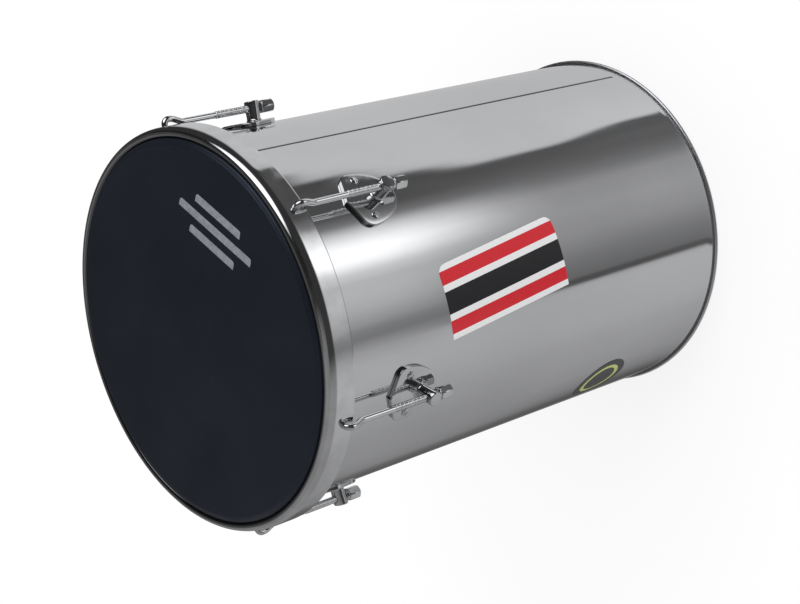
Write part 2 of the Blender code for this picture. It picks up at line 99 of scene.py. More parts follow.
# The slope of a nut's cut-back corners, and the sizes of its broken edges
NUT_SLOPE = tan(radians(30))
CORNER_EDGE = 0.12 * MM
BORE_EDGE = 0.3 * MM
COLLAR_EDGE = 0.25 * MM
COLLAR_ROUND = 0.08 * MM

# The width of the slope at each side of the seam's groove
SEAM_SLOPE = 0.18 * MM

# How deep a post's foot sits in its shield
POST_SINK = 0.15 * MM

# The cross in a screw's head: half its width, and its depth
CROSS_HALF_WIDTH = 0.4 * MM
CROSS_DEPTH = 0.5 * MM

# Where the flat of the film ends, as a part of the hem's radius
FILM_FLAT = 0.985


def length(name, description, millimetres):
    """A length property, its default given in millimetres."""
    kind = {"min": 0.0, "precision": 5, "subtype": "DISTANCE", "unit": "LENGTH"}
    return FloatProperty(name=name, description=description, default=millimetres * MM, **kind)


def angle(name, description, degrees):
    """An angle property, its default given in degrees."""
    kind = {"subtype": "ANGLE", "unit": "ROTATION"}
    return FloatProperty(name=name, description=description, default=radians(degrees), **kind)


def colour(name, description, value):
    """A colour property."""
    kind = {"min": 0.0, "max": 1.0, "size": 3, "subtype": "COLOR"}
    return FloatVectorProperty(name=name, description=description, default=value, **kind)


def share(name, description, value):
    """A property between 0 and 1."""
    kind = {"min": 0.0, "max": 1.0, "subtype": "FACTOR"}
    return FloatProperty(name=name, description=description, default=value, **kind)


class ShellSizes(PropertyGroup):
    """Sizes of the rolled sheet shell."""

    radius: length("Radius", "Outer radius of the sheet", 150.0)
    wall: length("Wall", "Thickness of the sheet", 1.2)
    hem: length("Hem", "Outer diameter of the curled hems", 3.6)
    flare_length: length("Flare length", "Height over which the rear rim flares", 11.0)
    flare_width: length("Flare width", "How far the rear rim flares", 0.4)
    seam_angle: angle("Seam angle", "Where the lengthwise seam is", 57.5)
    seam_width: length("Seam width", "Width of the seam's groove", 2.3)
    seam_depth: length("Seam depth", "Depth of the seam's groove", 0.4)
    seam_margin: length("Seam margin", "Plain stretch between the seam and each end", 14.0)


class HeadSizes(PropertyGroup):
    """Sizes of the head and of the flesh hoop that grips it."""

    film: length("Film", "Thickness of the film", 1.1)
    ink: length("Ink", "How far the printed mark stands above the film", 0.05)
    collar: length("Collar", "Depth of the collar under the bearing edge", 2.2)
    collar_flare: length("Collar flare", "Height of the sloping part of the collar", 3.3)
    leg: length("Leg", "Depth of the film's edge in its channel", 3.4)
    channel_wall: length("Channel wall", "Thickness of the channel's sheet", 1.1)
    channel_clearance: length("Channel clearance", "Gap between shell and channel", 2.0)
    channel_inner: length("Channel inner", "Height of the channel's inner wall", 3.4)


class HoopSizes(PropertyGroup):
    """Sizes of the counterhoop."""

    wall: length("Wall", "Thickness of the band", 1.6)
    depth: length("Depth", "Depth of the band", 25.0)
    roll: length("Roll", "Radius of the rolled edge at mid-wall", 3.6)
    roll_turn: angle("Roll turn", "How far the edge is rolled in", 144.0)
    roll_fall: length("Roll fall", "Height over which the band curves in to the roll's top", 9.0)
    roll_full: FloatProperty(
        name="Roll fullness",
        description="2 gives the curve an ellipse's shape, more makes its shoulder fuller",
        default=2.4,
        min=2.0,
        subtype="UNSIGNED",
    )
    proud: length("Proud", "How far the head stands above the hoop", 1.0)
    edge: length("Edge", "Rounding of the band's lower edge", 0.35)


class RodSizes(PropertyGroup):
    """Sizes of the hook rods and their threads."""

    radius: length("Radius", "Radius of the plain wire", 2.5)
    thread_radius: length("Thread radius", "Outer radius of the thread", 3.0)
    thread_root: length("Thread root", "Radius at the bottom of the thread", 2.82)
    thread_length: length("Thread length", "Length of the thread", 55.2)
    pitch: length("Pitch", "Rise of the thread in one turn", 1.0)
    standoff: length("Standoff", "Gap from the band to the rod's axis", 1.4)
    drop: length("Hook drop", "Depth of the hook's hole under the hoop's top", 16.2)
    reach: length("Hook reach", "How far the hook goes in past the band", 4.5)
    bend: length("Hook bend", "Bend radius at the hook", 4.2)
    hump: length("Hook hump", "How far the rod stands out at the hook", 3.7)
    straight: length("Hook straight", "Straight stretch under the bend", 1.5)
    settle: length("Hook settle", "Height over which the rod steps back in", 12.5)
    end_inset: length("End inset", "How far the rod's end sits in its nut", 0.8)


class LugSizes(PropertyGroup):
    """Sizes of the lug brackets and their screws."""

    drop: length("Drop", "Depth of the post under the hoop's top", 102.2)
    thickness: length("Thickness", "Thickness of the shield", 2.8)
    half_width: length("Half width", "Half the shield's width", 23.2)
    front: length("Front", "Height of the chevron's point over the post", 31.6)
    corner: length("Corner", "Height of the front corners over the post", 23.4)
    shoulder: length("Shoulder", "Where the straight sides end", 15.8)
    rear: length("Rear", "Depth of the rear curve under the post", 15.4)
    edge: length("Edge", "Rounding of the shield's edge", 0.7)
    corner_round: length("Corner round", "Rounding of the shield's corners", 6.5)
    foot_round: length("Foot round", "Fillet between shield and post", 2.2)
    post_base: length("Post base", "Radius of the post at its foot", 5.6)
    post_tip: length("Post tip", "Radius of the post at its tip", 6.0)
    tip_round: length("Tip round", "Rounding of the post's tip", 0.8)
    tip_margin: length("Tip margin", "Post beyond the rod's axis", 5.8)
    lean: angle("Lean", "How far the post leans to the rear", 4.3)
    spot_depth: length("Spot depth", "Depth of the flat that the nut bears on", 0.8)
    screw_spread: length("Screw spread", "Half the distance between the screws", 16.0)
    screw_rise: length("Screw rise", "Height of the screws over the post", 13.4)
    screw_radius: length("Screw radius", "Radius of a screw", 1.9)
    screw_head: length("Screw head", "Radius of a screw's head", 3.4)
    screw_dome: length("Screw dome", "Height of a screw's head", 1.1)
    screw_tail: length("Screw tail", "Screw beyond its nut", 0.9)
    nut_flats: length("Inner nut flats", "Inner nut across its flats", 7.0)
    nut_height: length("Inner nut height", "Height of an inner nut", 3.0)


class NutSizes(PropertyGroup):
    """Sizes of the tension nuts."""

    collar_radius: length("Collar radius", "Radius of the turned collar", 4.3)
    collar: length("Collar", "Height of the collar", 3.0)
    flats: length("Flats", "Nut across its flats", 10.0)
    height: length("Height", "Height of the hexagon", 11.2)
    face_inset: length("Face inset", "How far the end face's edge lies inside the flats", 0.35)


class LabelSizes(PropertyGroup):
    """Sizes and places of the plain labels."""

    film: length("Film", "Thickness of a label", 0.1)
    shell_height: length("Shell label height", "Height of the shell label's centre", 261.5)
    shell_angle: angle("Shell label angle", "Where the shell label's centre is", -4.5)
    shell_tilt: angle("Shell label tilt", "How far the shell label is turned", 7.0)
    shell_long: length("Shell label length", "Length of the shell label along the drum", 132.0)
    shell_wide: length("Shell label width", "Width of the shell label round the drum", 60.0)
    head_radius: length("Head mark radius", "Distance of the head mark from the centre", 96.0)
    head_angle: angle("Head mark angle", "Where the head mark is", 51.0)
    head_long: length("Head mark length", "Length of the head mark", 92.0)
    head_wide: length("Head mark width", "Width of the head mark", 34.0)
    disc_height: length("Disc height", "Height of the round label's centre", 109.5)
    disc_angle: angle("Disc angle", "Where the round label's centre is", -60.0)
    disc_radius: length("Disc radius", "Radius of the round label", 27.0)


class Finishes(PropertyGroup):
    """Colours and polish."""

    sheet: colour("Shell metal", "Colour of the polished sheet", (0.735, 0.740, 0.750))
    sheet_polish: share("Shell roughness", "Roughness of the polished sheet", 0.07)
    chrome: colour("Chrome", "Colour of the plated pieces", (0.76, 0.765, 0.775))
    chrome_polish: share("Chrome roughness", "Roughness of the plated pieces", 0.06)
    zinc: colour("Zinc", "Colour of the inner nuts", (0.56, 0.57, 0.58))
    film: colour("Head film", "Colour of the head's film", (0.0066, 0.0080, 0.0110))
    print: colour("Head print", "Colour of the mark printed on the head", (0.26, 0.275, 0.30))
    label_white: colour("Label white", "Ground of the shell label", (0.80, 0.80, 0.81))
    label_red: colour("Label red", "Red of the shell label", (0.60, 0.012, 0.022))
    label_black: colour("Label black", "Black of the shell label", (0.012, 0.012, 0.014))
    disc_grey: colour("Disc grey", "Ground of the round label", (0.035, 0.037, 0.035))
    disc_green: colour("Disc green", "Ring of the round label", (0.52, 0.56, 0.17))


class StageSizes(PropertyGroup):
    """Camera, lamps and floor."""

    lens: FloatProperty(name="Lens", description="Focal length", default=79.43, unit="CAMERA")
    floor: FloatProperty(name="Floor", description="Side of the floor", default=14.0, unit="LENGTH")
    sky: FloatProperty(name="Sky", description="Level of the soft light", default=0.95, subtype="UNSIGNED")
    key: FloatProperty(name="Key", description="Power of the key lamp", default=26.0, unit="POWER")
    segments: IntProperty(name="Segments", description="Facets round the drum", default=384, min=24)


def drum_sizes(scene):
    """The sizes that follow from the settings, shared by the pieces."""
    shell = scene.rebolo_shell
    head = scene.rebolo_head
    hoop = scene.rebolo_hoop
    rod = scene.rebolo_rod
    lug = scene.rebolo_lug
    nut = scene.rebolo_nut
    size = SimpleNamespace(gap=0.3 * MM)
    size.hem_line = (shell.hem - shell.wall) / 2
    size.hem_reach = shell.hem / 2
    size.hem_radius = shell.radius - shell.wall / 2 + size.hem_line
    size.bearing = SHELL_TOP - size.hem_reach
    size.film_level = HEAD_TOP - head.ink - head.film / 2
    size.bend = size.film_level - size.bearing
    size.channel_inner = size.hem_radius + size.hem_reach + head.channel_clearance + head.channel_wall / 2
    size.leg_radius = size.channel_inner + head.channel_wall / 2 + size.gap + head.film / 2
    size.channel_outer = size.leg_radius + head.film / 2 + size.gap + head.channel_wall / 2
    size.leg_top = size.bearing - head.collar - head.collar_flare
    size.channel_floor = size.leg_top - head.leg - size.gap - head.channel_wall / 2
    size.hoop_top = HEAD_TOP - hoop.proud
    size.band_radius = size.channel_outer + hoop.roll
    size.hoop_radius = size.band_radius + hoop.wall / 2
    size.roll_height = size.hoop_top - hoop.roll - hoop.wall / 2
    size.hook_height = size.hoop_top - rod.drop
    size.rod_offset = size.hoop_radius + rod.standoff
    size.lug_height = size.hoop_top - lug.drop
    size.plate_inner = shell.radius + size.gap
    size.plate_outer = shell.radius + size.gap + lug.thickness
    size.nut_top = size.lug_height - lug.post_base + lug.spot_depth - size.gap
    size.rod_end = size.nut_top - nut.collar - nut.height + rod.end_inset
    size.screw_height = size.lug_height + lug.screw_rise
    size.screw_angle = lug.screw_spread / shell.radius
    size.nut_seat = shell.radius - shell.wall - size.gap
    return size


def station_angle(number):
    """Where one tension station is, as its packed rod has it."""
    low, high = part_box(f"hook_rod_{number}")
    centre = (low + high) / 2
    return atan2(centre.y, centre.x)


def station_nodes(stem, letters=("",)):
    """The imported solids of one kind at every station."""
    return [f"{stem}_{number}{letter}" for number in STATION_NUMBERS for letter in letters]


# Nodes


def set_inputs(tree, node, inputs):
    """Give each named input its value, or link it to another node's output."""
    for key, value in inputs.items():
        if isinstance(value, bpy.types.NodeSocket):
            tree.links.new(value, node.inputs[key])
        else:
            node.inputs[key].default_value = value


def add_node(tree, kind, inputs=None, **settings):
    """Add a node with its settings and inputs."""
    made = tree.nodes.new(kind)
    for key, value in settings.items():
        setattr(made, key, value)
    set_inputs(tree, made, inputs or {})
    return made


def out(tree, kind, inputs=None, **settings):
    """The first output of a new node."""
    return add_node(tree, kind, inputs, **settings).outputs[0]


def maths(tree, operation, *values, kind="ShaderNodeMath"):
    """The result of a sum."""
    return out(tree, kind, dict(enumerate(values)), operation=operation)


def geometry_tree(maker, values):
    """A new Geometry Nodes tree that ends with Realize Instances and Set Material.

    Its inputs have the names and kinds of the values. The maker adds the nodes that it is named for.
    """
    tree = bpy.data.node_groups.new(maker.__name__, "GeometryNodeTree")
    tree.interface.new_socket(name="Geometry", in_out="OUTPUT", socket_type="NodeSocketGeometry")
    tree.interface.new_socket(name="Geometry", in_out="INPUT", socket_type="NodeSocketGeometry")
    for name, value in values.items():
        tree.interface.new_socket(name=name, in_out="INPUT", socket_type=SOCKETS[type(value)])
    feed = tree.nodes.new("NodeGroupInput").outputs
    real = out(tree, "GeometryNodeRealizeInstances", {"Geometry": maker(tree, feed)})
    painted = out(tree, "GeometryNodeSetMaterial", {"Geometry": real, "Material": feed["Material"]})
    add_node(tree, "NodeGroupOutput", {"Geometry": painted})
    return tree


def nodes_modifier(obj, maker, values):
    """Give obj a maker's Geometry Nodes tree, made on its first use, and set its inputs."""
    tree = bpy.data.node_groups.get(maker.__name__) or geometry_tree(maker, values)
    modifier = obj.modifiers.new(tree.name, "NODES")
    modifier.node_group = tree
    for item in tree.interface.items_tree:
        if item.in_out == "INPUT" and item.name in values:
            modifier[item.identifier] = values[item.name]


def turned_form(tree, feed):
    """Turn a closed outline, drawn as a loop of points in the XZ plane, about the Z axis."""
    whole = {"kind": "FunctionNodeIntegerMath"}
    points = out(tree, "GeometryNodeAttributeDomainSize", {"Geometry": feed["Geometry"]})
    rows = maths(tree, "ADD", points, 1, **whole)
    columns = maths(tree, "ADD", feed["Segments"], 1, **whole)
    grid = out(tree, "GeometryNodeMeshGrid", {"Vertices X": columns, "Vertices Y": rows})
    index = out(tree, "GeometryNodeInputIndex")
    row = maths(tree, "MODULO", index, rows, **whole)
    column = maths(tree, "DIVIDE_FLOOR", index, rows, **whole)
    sample = {
        "Geometry": feed["Geometry"],
        "Value": out(tree, "GeometryNodeInputPosition"),
        "Index": maths(tree, "MODULO", row, points, **whole),
    }
    spot = out(tree, "GeometryNodeSampleIndex", sample, data_type="FLOAT_VECTOR", domain="POINT")
    turn = maths(tree, "MULTIPLY", maths(tree, "DIVIDE", column, feed["Segments"]), TURN)
    place = out(tree, "ShaderNodeVectorRotate", {"Vector": spot, "Angle": turn}, rotation_type="Z_AXIS")
    shaped = out(tree, "GeometryNodeSetPosition", {"Geometry": grid, "Position": place})
    return out(tree, "GeometryNodeMergeByDistance", {"Geometry": shaped, "Distance": 1e-6})


def repeated_station(tree, feed):
    """Repeat one station's piece round the drum's axis."""
    points = out(tree, "GeometryNodePoints", {"Count": feed["Count"]})
    part = maths(tree, "DIVIDE", out(tree, "GeometryNodeInputIndex"), feed["Count"])
    turn = maths(tree, "MULTIPLY_ADD", part, TURN, feed["First angle"])
    rotation = out(tree, "FunctionNodeAxisAngleToRotation", {"Axis": (0, 0, 1), "Angle": turn})
    placed = {"Points": points, "Instance": feed["Geometry"], "Rotation": rotation}
    return out(tree, "GeometryNodeInstanceOnPoints", placed)


def screw_thread(tree, feed):
    """Wind a screw thread on a rod that stands at an offset from the drum's axis."""
    spiral = {
        "Resolution": 18,
        "Rotations": maths(tree, "DIVIDE", feed["Length"], feed["Pitch"]),
        "Start Radius": feed["Radius"],
        "End Radius": feed["Radius"],
        "Height": feed["Length"],
    }
    ridge = {"Resolution": 4, "Radius": feed["Ridge"]}
    wound = {
        "Curve": out(tree, "GeometryNodeCurveSpiral", spiral),
        "Profile Curve": out(tree, "GeometryNodeCurvePrimitiveCircle", ridge, mode="RADIUS"),
        "Fill Caps": True,
    }
    moved = {"Geometry": out(tree, "GeometryNodeCurveToMesh", wound), "Translation": feed["Place"]}
    joined = add_node(tree, "GeometryNodeJoinGeometry", {"Geometry": feed["Geometry"]})
    tree.links.new(out(tree, "GeometryNodeTransform", moved), joined.inputs[0])
    return joined.outputs[0]


# Meshes


def link_object(name, mesh):
    """Put a mesh in the scene under its name."""
    obj = bpy.data.objects.new(name, mesh)
    bpy.context.scene.collection.objects.link(obj)
    return obj


def plain_mesh(obj, outward=True):
    """Replace obj's mesh by its finished form, and take its modifiers off."""
    depsgraph = bpy.context.evaluated_depsgraph_get()
    mesh = bpy.data.meshes.new_from_object(obj.evaluated_get(depsgraph))
    obj.modifiers.clear()
    bm = bmesh.new()
    bm.from_mesh(mesh)
    bmesh.ops.remove_doubles(bm, verts=bm.verts, dist=1e-7)
    bmesh.ops.dissolve_degenerate(bm, edges=bm.edges, dist=1e-8)
    if outward:
        bmesh.ops.recalc_face_normals(bm, faces=bm.faces)
    bm.to_mesh(mesh)
    bm.free()
    mesh.name = obj.name
    obj.data = mesh
    mesh.shade_smooth()
    mesh.set_sharp_from_angle(angle=SMOOTH_LIMIT)
    return obj


def mesh_from(name, bm):
    """A plain mesh object from a bmesh, faces turned outwards."""
    bmesh.ops.recalc_face_normals(bm, faces=bm.faces)
    mesh = bpy.data.meshes.new(name)
    bm.to_mesh(mesh)
    bm.free()
    return link_object(name, mesh)


def turned_piece(scene, name, outline, maker):
    """A piece made by turning a closed outline of (radius, height) points about the drum's axis."""
    points = [(radius, 0.0, height) for radius, height in outline]
    edges = [(index, (index + 1) % len(points)) for index in range(len(points))]
    mesh = bpy.data.meshes.new(name)
    mesh.from_pydata(points, edges, [])
    obj = link_object(name, mesh)
    values = {"Segments": scene.rebolo_stage.segments, "Material": drum_material(scene, maker)}
    nodes_modifier(obj, turned_form, values)
    return plain_mesh(obj)


def round_the_drum(scene, obj, maker, count=len(STATION_NUMBERS), first=1):
    """Repeat obj's piece round the drum from one station on, and make the result plain."""
    values = {"Count": count, "First angle": station_angle(first), "Material": drum_material(scene, maker)}
    nodes_modifier(obj, repeated_station, values)
    return plain_mesh(obj, outward=False)


def parts(count, first=1):
    """Even steps up to 1 in parts of 1 / count, from the first part on."""
    return [step / count for step in range(first, count + 1)]


def circle(sides):
    """The angles of evenly spaced points round a circle."""
    return [TURN * side / sides for side in range(sides)]


def arc(centre, radius, start, turn, steps):
    """Points on a round stretch, with both ends."""
    angles = [start + turn * part for part in parts(steps, 0)]
    return [(centre[0] + radius * cos(at), centre[1] + radius * sin(at)) for at in angles]


def polar(radius, at, height):
    """A point given by its radius and angle round the drum."""
    return Vector((radius * cos(at), radius * sin(at), height))


def bent(start, corner, end, steps):
    """Points on a curve from start to end that is drawn towards a corner."""
    curve = []
    for part in parts(steps, 0):
        curve.append(start * (1 - part) ** 2 + corner * 2 * part * (1 - part) + end * part**2)
    return curve


def sheet_outline(path, thickness):
    """The closed outline of a sheet that follows a path, half its thickness to each side."""
    left = []
    right = []
    for index, point in enumerate(path):
        here = Vector(point)
        before = here - Vector(path[max(index - 1, 0)])
        after = Vector(path[min(index + 1, len(path) - 1)]) - here
        before = before.normalized() if before.length > 0 else after.normalized()
        after = after.normalized() if after.length > 0 else before
        along = (before + after).normalized()
        across = Vector((-along.y, along.x))
        reach = thickness / 2 / max(along.dot(before), 0.5)
        left.append(tuple(here + across * reach))
        right.append(tuple(here - across * reach))
    return left + right[::-1]


def eased(outline, radius, steps=3, limit=radians(50)):
    """The closed outline with rounded corners, apart from shallow ones and those up to x = 0."""
    points = []
    for index, point in enumerate(outline):
        here = Vector(point)
        back = Vector(outline[index - 1]) - here
        ahead = Vector(outline[(index + 1) % len(outline)]) - here
        turn = pi - back.angle(ahead) if back.length and ahead.length else 0
        if turn < limit or here.x < 1e-9:
            points.append(point)
            continue
        reach = min(radius, back.length * 0.45, ahead.length * 0.45)
        start = here + back.normalized() * reach
        end = here + ahead.normalized() * reach
        points += [tuple(spot) for spot in bent(start, here, end, steps)]
    return points


def spaced(points, pitch):
    """The closed outline with points added so that no side is longer than pitch."""
    result = []
    for index, point in enumerate(points):
        start = Vector(point)
        end = Vector(points[(index + 1) % len(points)])
        steps = max(1, round((end - start).length / pitch))
        result += [tuple(start.lerp(end, step / steps)) for step in range(steps)]
    return result


def inset(points, distance):
    """Each point of a closed outline moved inwards, square to the outline."""
    pairs = [(points[index - 1], points[index]) for index in range(len(points))]
    side = 1 if sum(a[0] * b[1] - b[0] * a[1] for a, b in pairs) > 0 else -1
    moved = []
    for index, point in enumerate(points):
        along = (Vector(points[(index + 1) % len(points)]) - Vector(points[index - 1])).normalized()
        moved.append(tuple(Vector(point) + Vector((-along.y, along.x)) * side * distance))
    return moved


def join_rings(bm, rings, closed=False):
    """Faces between rings of vertices. A ring of one vertex is a pole."""
    pairs = list(zip(rings, rings[1:]))
    if closed:
        pairs.append((rings[-1], rings[0]))
    for lower, upper in pairs:
        count = max(len(lower), len(upper))
        for index in range(count):
            following = (index + 1) % count
            if len(lower) == 1:
                bm.faces.new((lower[0], upper[following], upper[index]))
            elif len(upper) == 1:
                bm.faces.new((lower[index], lower[following], upper[0]))
            else:
                bm.faces.new((lower[index], lower[following], upper[following], upper[index]))


def ringed(name, rings, closed=False, capped=False):
    """A mesh with faces between rings of points, joined to the first ring or capped at both ends."""
    bm = bmesh.new()
    made = [[bm.verts.new(point) for point in ring] for ring in rings]
    join_rings(bm, made, closed)
    if capped:
        bm.faces.new(made[0][::-1])
        bm.faces.new(made[-1])
    return mesh_from(name, bm)


def cutter(name, start, end, radius, sides=48):
    """A cylinder that cuts others."""
    start = Vector(start)
    axis = Vector(end) - start
    place = Matrix.Translation(start + axis / 2) @ axis.to_track_quat("Z", "Y").to_matrix().to_4x4()
    bm = bmesh.new()
    bmesh.ops.create_cone(
        bm, cap_ends=True, segments=sides, radius1=radius, radius2=radius, depth=axis.length, matrix=place
    )
    return mesh_from(name, bm)


def slot_cutter(name, start, end, half_width, depth):
    """A box that cuts a slot into a face, from start to end at the face's height."""
    along = end - start
    size = Matrix.Diagonal((along.length, 2 * half_width, 2 * depth, 1))
    turn = along.to_track_quat("X", "Z").to_matrix().to_4x4()
    bm = bmesh.new()
    bmesh.ops.create_cube(bm, size=1, matrix=Matrix.Translation((start + end) / 2) @ turn @ size)
    return mesh_from(name, bm)


def combined(obj, others, operation):
    """Cut others from obj, or unite them with it, and take them away."""
    for other in others:
        modifier = obj.modifiers.new(other.name, "BOOLEAN")
        modifier.operation = operation
        modifier.solver = "EXACT"
        modifier.object = other
    plain_mesh(obj)
    for other in others:
        bpy.data.objects.remove(other, do_unlink=True)
    if not obj.data.polygons:
        raise RuntimeError(f"{obj.name} has no faces left")
    return obj


def domed_pad(name, outline, place, levels, rings=9):
    """A pad from a closed outline round the origin.

    place turns (across, along, rise) into a point. levels are (inset, rise) pairs from the
    pad's underside up to its top, and both ends are closed over the outline's centre.
    """
    bm = bmesh.new()
    layer = bm.loops.layers.uv.new("UVMap")
    width = max(x for x, y in outline) - min(x for x, y in outline)
    depth = max(y for x, y in outline) - min(y for x, y in outline)
    spots = {}

    def vertex(x, y, rise):
        made = bm.verts.new(place(x, y, rise))
        spots[made] = (0.5 + x / width, 0.5 + y / depth)
        return made

    def ring(level, part=1.0):
        around = [Vector((0, 0)).lerp(Vector(point), part) for point in inset(outline, level[0])]
        return [vertex(*point, level[1]) for point in around]

    inner = parts(rings)[:-1]
    stack = [[vertex(0, 0, levels[0][1])]] + [ring(levels[0], part) for part in inner]
    stack += [ring(level) for level in levels]
    stack += [ring(levels[-1], part) for part in reversed(inner)] + [[vertex(0, 0, levels[-1][1])]]
    join_rings(bm, stack)
    for face in bm.faces:
        for loop in face.loops:
            loop[layer].uv = spots[loop.vert]
    return mesh_from(name, bm)


# Materials


def drum_material(scene, maker):
    """A material with its maker's name and shader inputs, made the first time it is asked for."""
    material = bpy.data.materials.get(maker.__name__)
    if not material:
        material = bpy.data.materials.new(maker.__name__)
        material.use_nodes = True
        tree = material.node_tree
        set_inputs(tree, tree.nodes["Principled BSDF"], maker(scene, tree))
    return material


def object_place(tree):
    """A point's Object coordinates."""
    return add_node(tree, "ShaderNodeTexCoord").outputs["Object"]


def label_place(tree):
    """A point's place on its label, from 0 to 1 both ways."""
    return out(tree, "ShaderNodeUVMap", uv_map="UVMap")


def object_noise(tree, scale, stretch=(1, 1, 1), detail=3.0, roughness=0.55):
    """Noise on Object coordinates, as a value from 0 to 1."""
    mapped = out(tree, "ShaderNodeMapping", {"Vector": object_place(tree), "Scale": stretch})
    look = {"Vector": mapped, "Scale": scale, "Detail": detail, "Roughness": roughness}
    return out(tree, "ShaderNodeTexNoise", look)


def between(tree, value, low, high, start=0.35, end=0.65):
    """Map a value from start and end to low and high."""
    span = {"Value": value, "From Min": start, "From Max": end, "To Min": low, "To Max": high}
    return out(tree, "ShaderNodeMapRange", span)


def eased_step(tree, value, low, high):
    """A soft step from 0 at low to 1 at high."""
    span = {"Value": value, "From Min": low, "From Max": high}
    return out(tree, "ShaderNodeMapRange", span, interpolation_type="SMOOTHSTEP")


def stripe(tree, value, low, high):
    """1 where value is between low and high, and otherwise 0."""
    above = maths(tree, "GREATER_THAN", value, low)
    return maths(tree, "MULTIPLY", above, maths(tree, "LESS_THAN", value, high))


def off_centre(tree, value, centre):
    """How far value is from centre."""
    return maths(tree, "ABSOLUTE", maths(tree, "SUBTRACT", value, centre))


def axis_distance(tree):
    """How far a point is from the drum's axis."""
    flat = maths(tree, "MULTIPLY", object_place(tree), (1, 1, 0), kind="ShaderNodeVectorMath")
    return add_node(tree, "ShaderNodeVectorMath", {0: flat}, operation="LENGTH").outputs["Value"]


def full(colour, factor=1.0):
    """A colour made lighter or darker, with its alpha."""
    return (*(min(part * factor, 1.0) for part in colour), 1.0)


def mixed(tree, factor, low, high):
    """low where factor is 0 and high where it is 1."""
    mix = add_node(tree, "ShaderNodeMix", {"Factor": factor, 6: low, 7: high}, data_type="RGBA")
    return mix.outputs[2]


def toned(tree, noise, colour, dark, light):
    """A colour that a noise varies from dark to light, given as factors."""
    return mixed(tree, between(tree, noise, 0, 1), full(colour, dark), full(colour, light))


def bump(tree, height, distance, under=None):
    """A bump from a height, laid over another bump if one is given."""
    inputs = {"Height": height, "Distance": distance, "Strength": 1.0}
    if under is not None:
        inputs["Normal"] = under
    return out(tree, "ShaderNodeBump", inputs)


def seam_mask(tree, shell):
    """1 in the seam's groove and 0 elsewhere, on Object coordinates."""
    x, y, z = add_node(tree, "ShaderNodeSeparateXYZ", {"Vector": object_place(tree)}).outputs
    wide = off_centre(tree, maths(tree, "ARCTAN2", y, x), shell.seam_angle)
    tall = off_centre(tree, z, SHELL_TOP / 2)
    inside = maths(tree, "LESS_THAN", wide, shell.seam_width / 2 / shell.radius)
    level = maths(tree, "LESS_THAN", tall, SHELL_TOP / 2 - shell.seam_margin)
    return maths(tree, "MULTIPLY", inside, level)


def polished_sheet(scene, tree):
    """Mirror-polished sheet: slight waves from rolling, hairlines and faint handling marks."""
    finish = scene.rebolo_finish
    shell = scene.rebolo_shell
    polish = finish.sheet_polish
    plain = toned(tree, object_noise(tree, 9.0, (1, 1, 0.6), 4.0), finish.sheet, 0.95, 1.03)
    smudge = object_noise(tree, 22.0, (1, 1, 0.7), 5.0, 0.6)
    rough = between(tree, smudge, polish * 0.75, polish * 1.35, 0.3, 0.75)
    hairs = between(tree, object_noise(tree, 90.0, (14, 14, 0.35), 3.0, 0.7), -0.008, 0.012)
    height = add_node(tree, "ShaderNodeSeparateXYZ", {"Vector": object_place(tree)}).outputs["Z"]
    worn = between(tree, height, 0.30, 0.0, shell.hem, 1.4 * shell.hem)
    wave = bump(tree, object_noise(tree, 7.0, (1, 1, 0.5), 1.5, 0.4), 0.00022)
    return {
        "Metallic": 1.0,
        "Base Color": mixed(tree, seam_mask(tree, shell), plain, full(finish.sheet, 0.06)),
        "Roughness": maths(tree, "ADD", maths(tree, "ADD", rough, hairs), worn),
        "Normal": bump(tree, object_noise(tree, 34.0, (1, 1, 0.45), 2.0, 0.5), 0.000016, wave),
    }


def chrome(scene, tree, ripple, ripple_scale, tint=1.0):
    """Bright plating over polished or cast metal, with a ripple from the metal under it."""
    finish = scene.rebolo_finish
    smudge = object_noise(tree, 130.0, detail=4.0)
    return {
        "Metallic": 1.0,
        "Base Color": toned(tree, object_noise(tree, 60.0), finish.chrome, 0.92 * tint, 1.04 * tint),
        "Roughness": between(tree, smudge, finish.chrome_polish * 0.7, finish.chrome_polish * 1.7),
        "Normal": bump(tree, object_noise(tree, ripple_scale, detail=2.0), ripple),
    }


def hoop_chrome(scene, tree):
    """Plating on the pressed hoop, with shallow dents, and painted shade that darkens the roll's inner face.
    """
    roll = scene.rebolo_hoop.roll
    crest = drum_sizes(scene).channel_outer
    look = chrome(scene, tree, 0.00022, 26.0)
    outer = eased_step(tree, axis_distance(tree), crest - 0.65 * roll, crest - 0.2 * roll)
    # painted shade: the roll's inner face gets a much darker plating colour
    painted_shade = full(scene.rebolo_finish.chrome, 0.28)
    look["Base Color"] = mixed(tree, outer, painted_shade, look["Base Color"])
    return look


def cast_chrome(scene, tree):
    """Plating on the cast brackets."""
    return chrome(scene, tree, 0.00002, 110.0, 0.94)


def rod_chrome(scene, tree):
    """Plating on the drawn rods, the nuts and the screws."""
    return chrome(scene, tree, 0.00001, 160.0)


def mottled(tree, noise, colour, tones, polish, metallic=1.0):
    """One noise in a material's tone and in its roughness."""
    return {
        "Metallic": metallic,
        "Base Color": toned(tree, noise, colour, *tones),
        "Roughness": between(tree, noise, *polish),
    }


def zinc_plate(scene, tree):
    """Zinc plating: dull, slightly mottled."""
    noise = object_noise(tree, 420.0, detail=4.0)
    look = mottled(tree, noise, scene.rebolo_finish.zinc, (0.85, 1.08), (0.24, 0.4))
    look["Normal"] = bump(tree, object_noise(tree, 1500.0), 0.000012)
    return look


def channel_metal(scene, tree):
    """Plain rolled metal of the flesh hoop."""
    noise = object_noise(tree, 60.0, (1, 1, 12))
    return mottled(tree, noise, scene.rebolo_finish.zinc, (0.9, 1.1), (0.22, 0.34))


def head_print(scene, tree):
    """Silver ink printed on the head."""
    noise = object_noise(tree, 240.0, detail=4.0)
    return mottled(tree, noise, scene.rebolo_finish.print, (0.86, 1.12), (0.42, 0.55), 0.25)


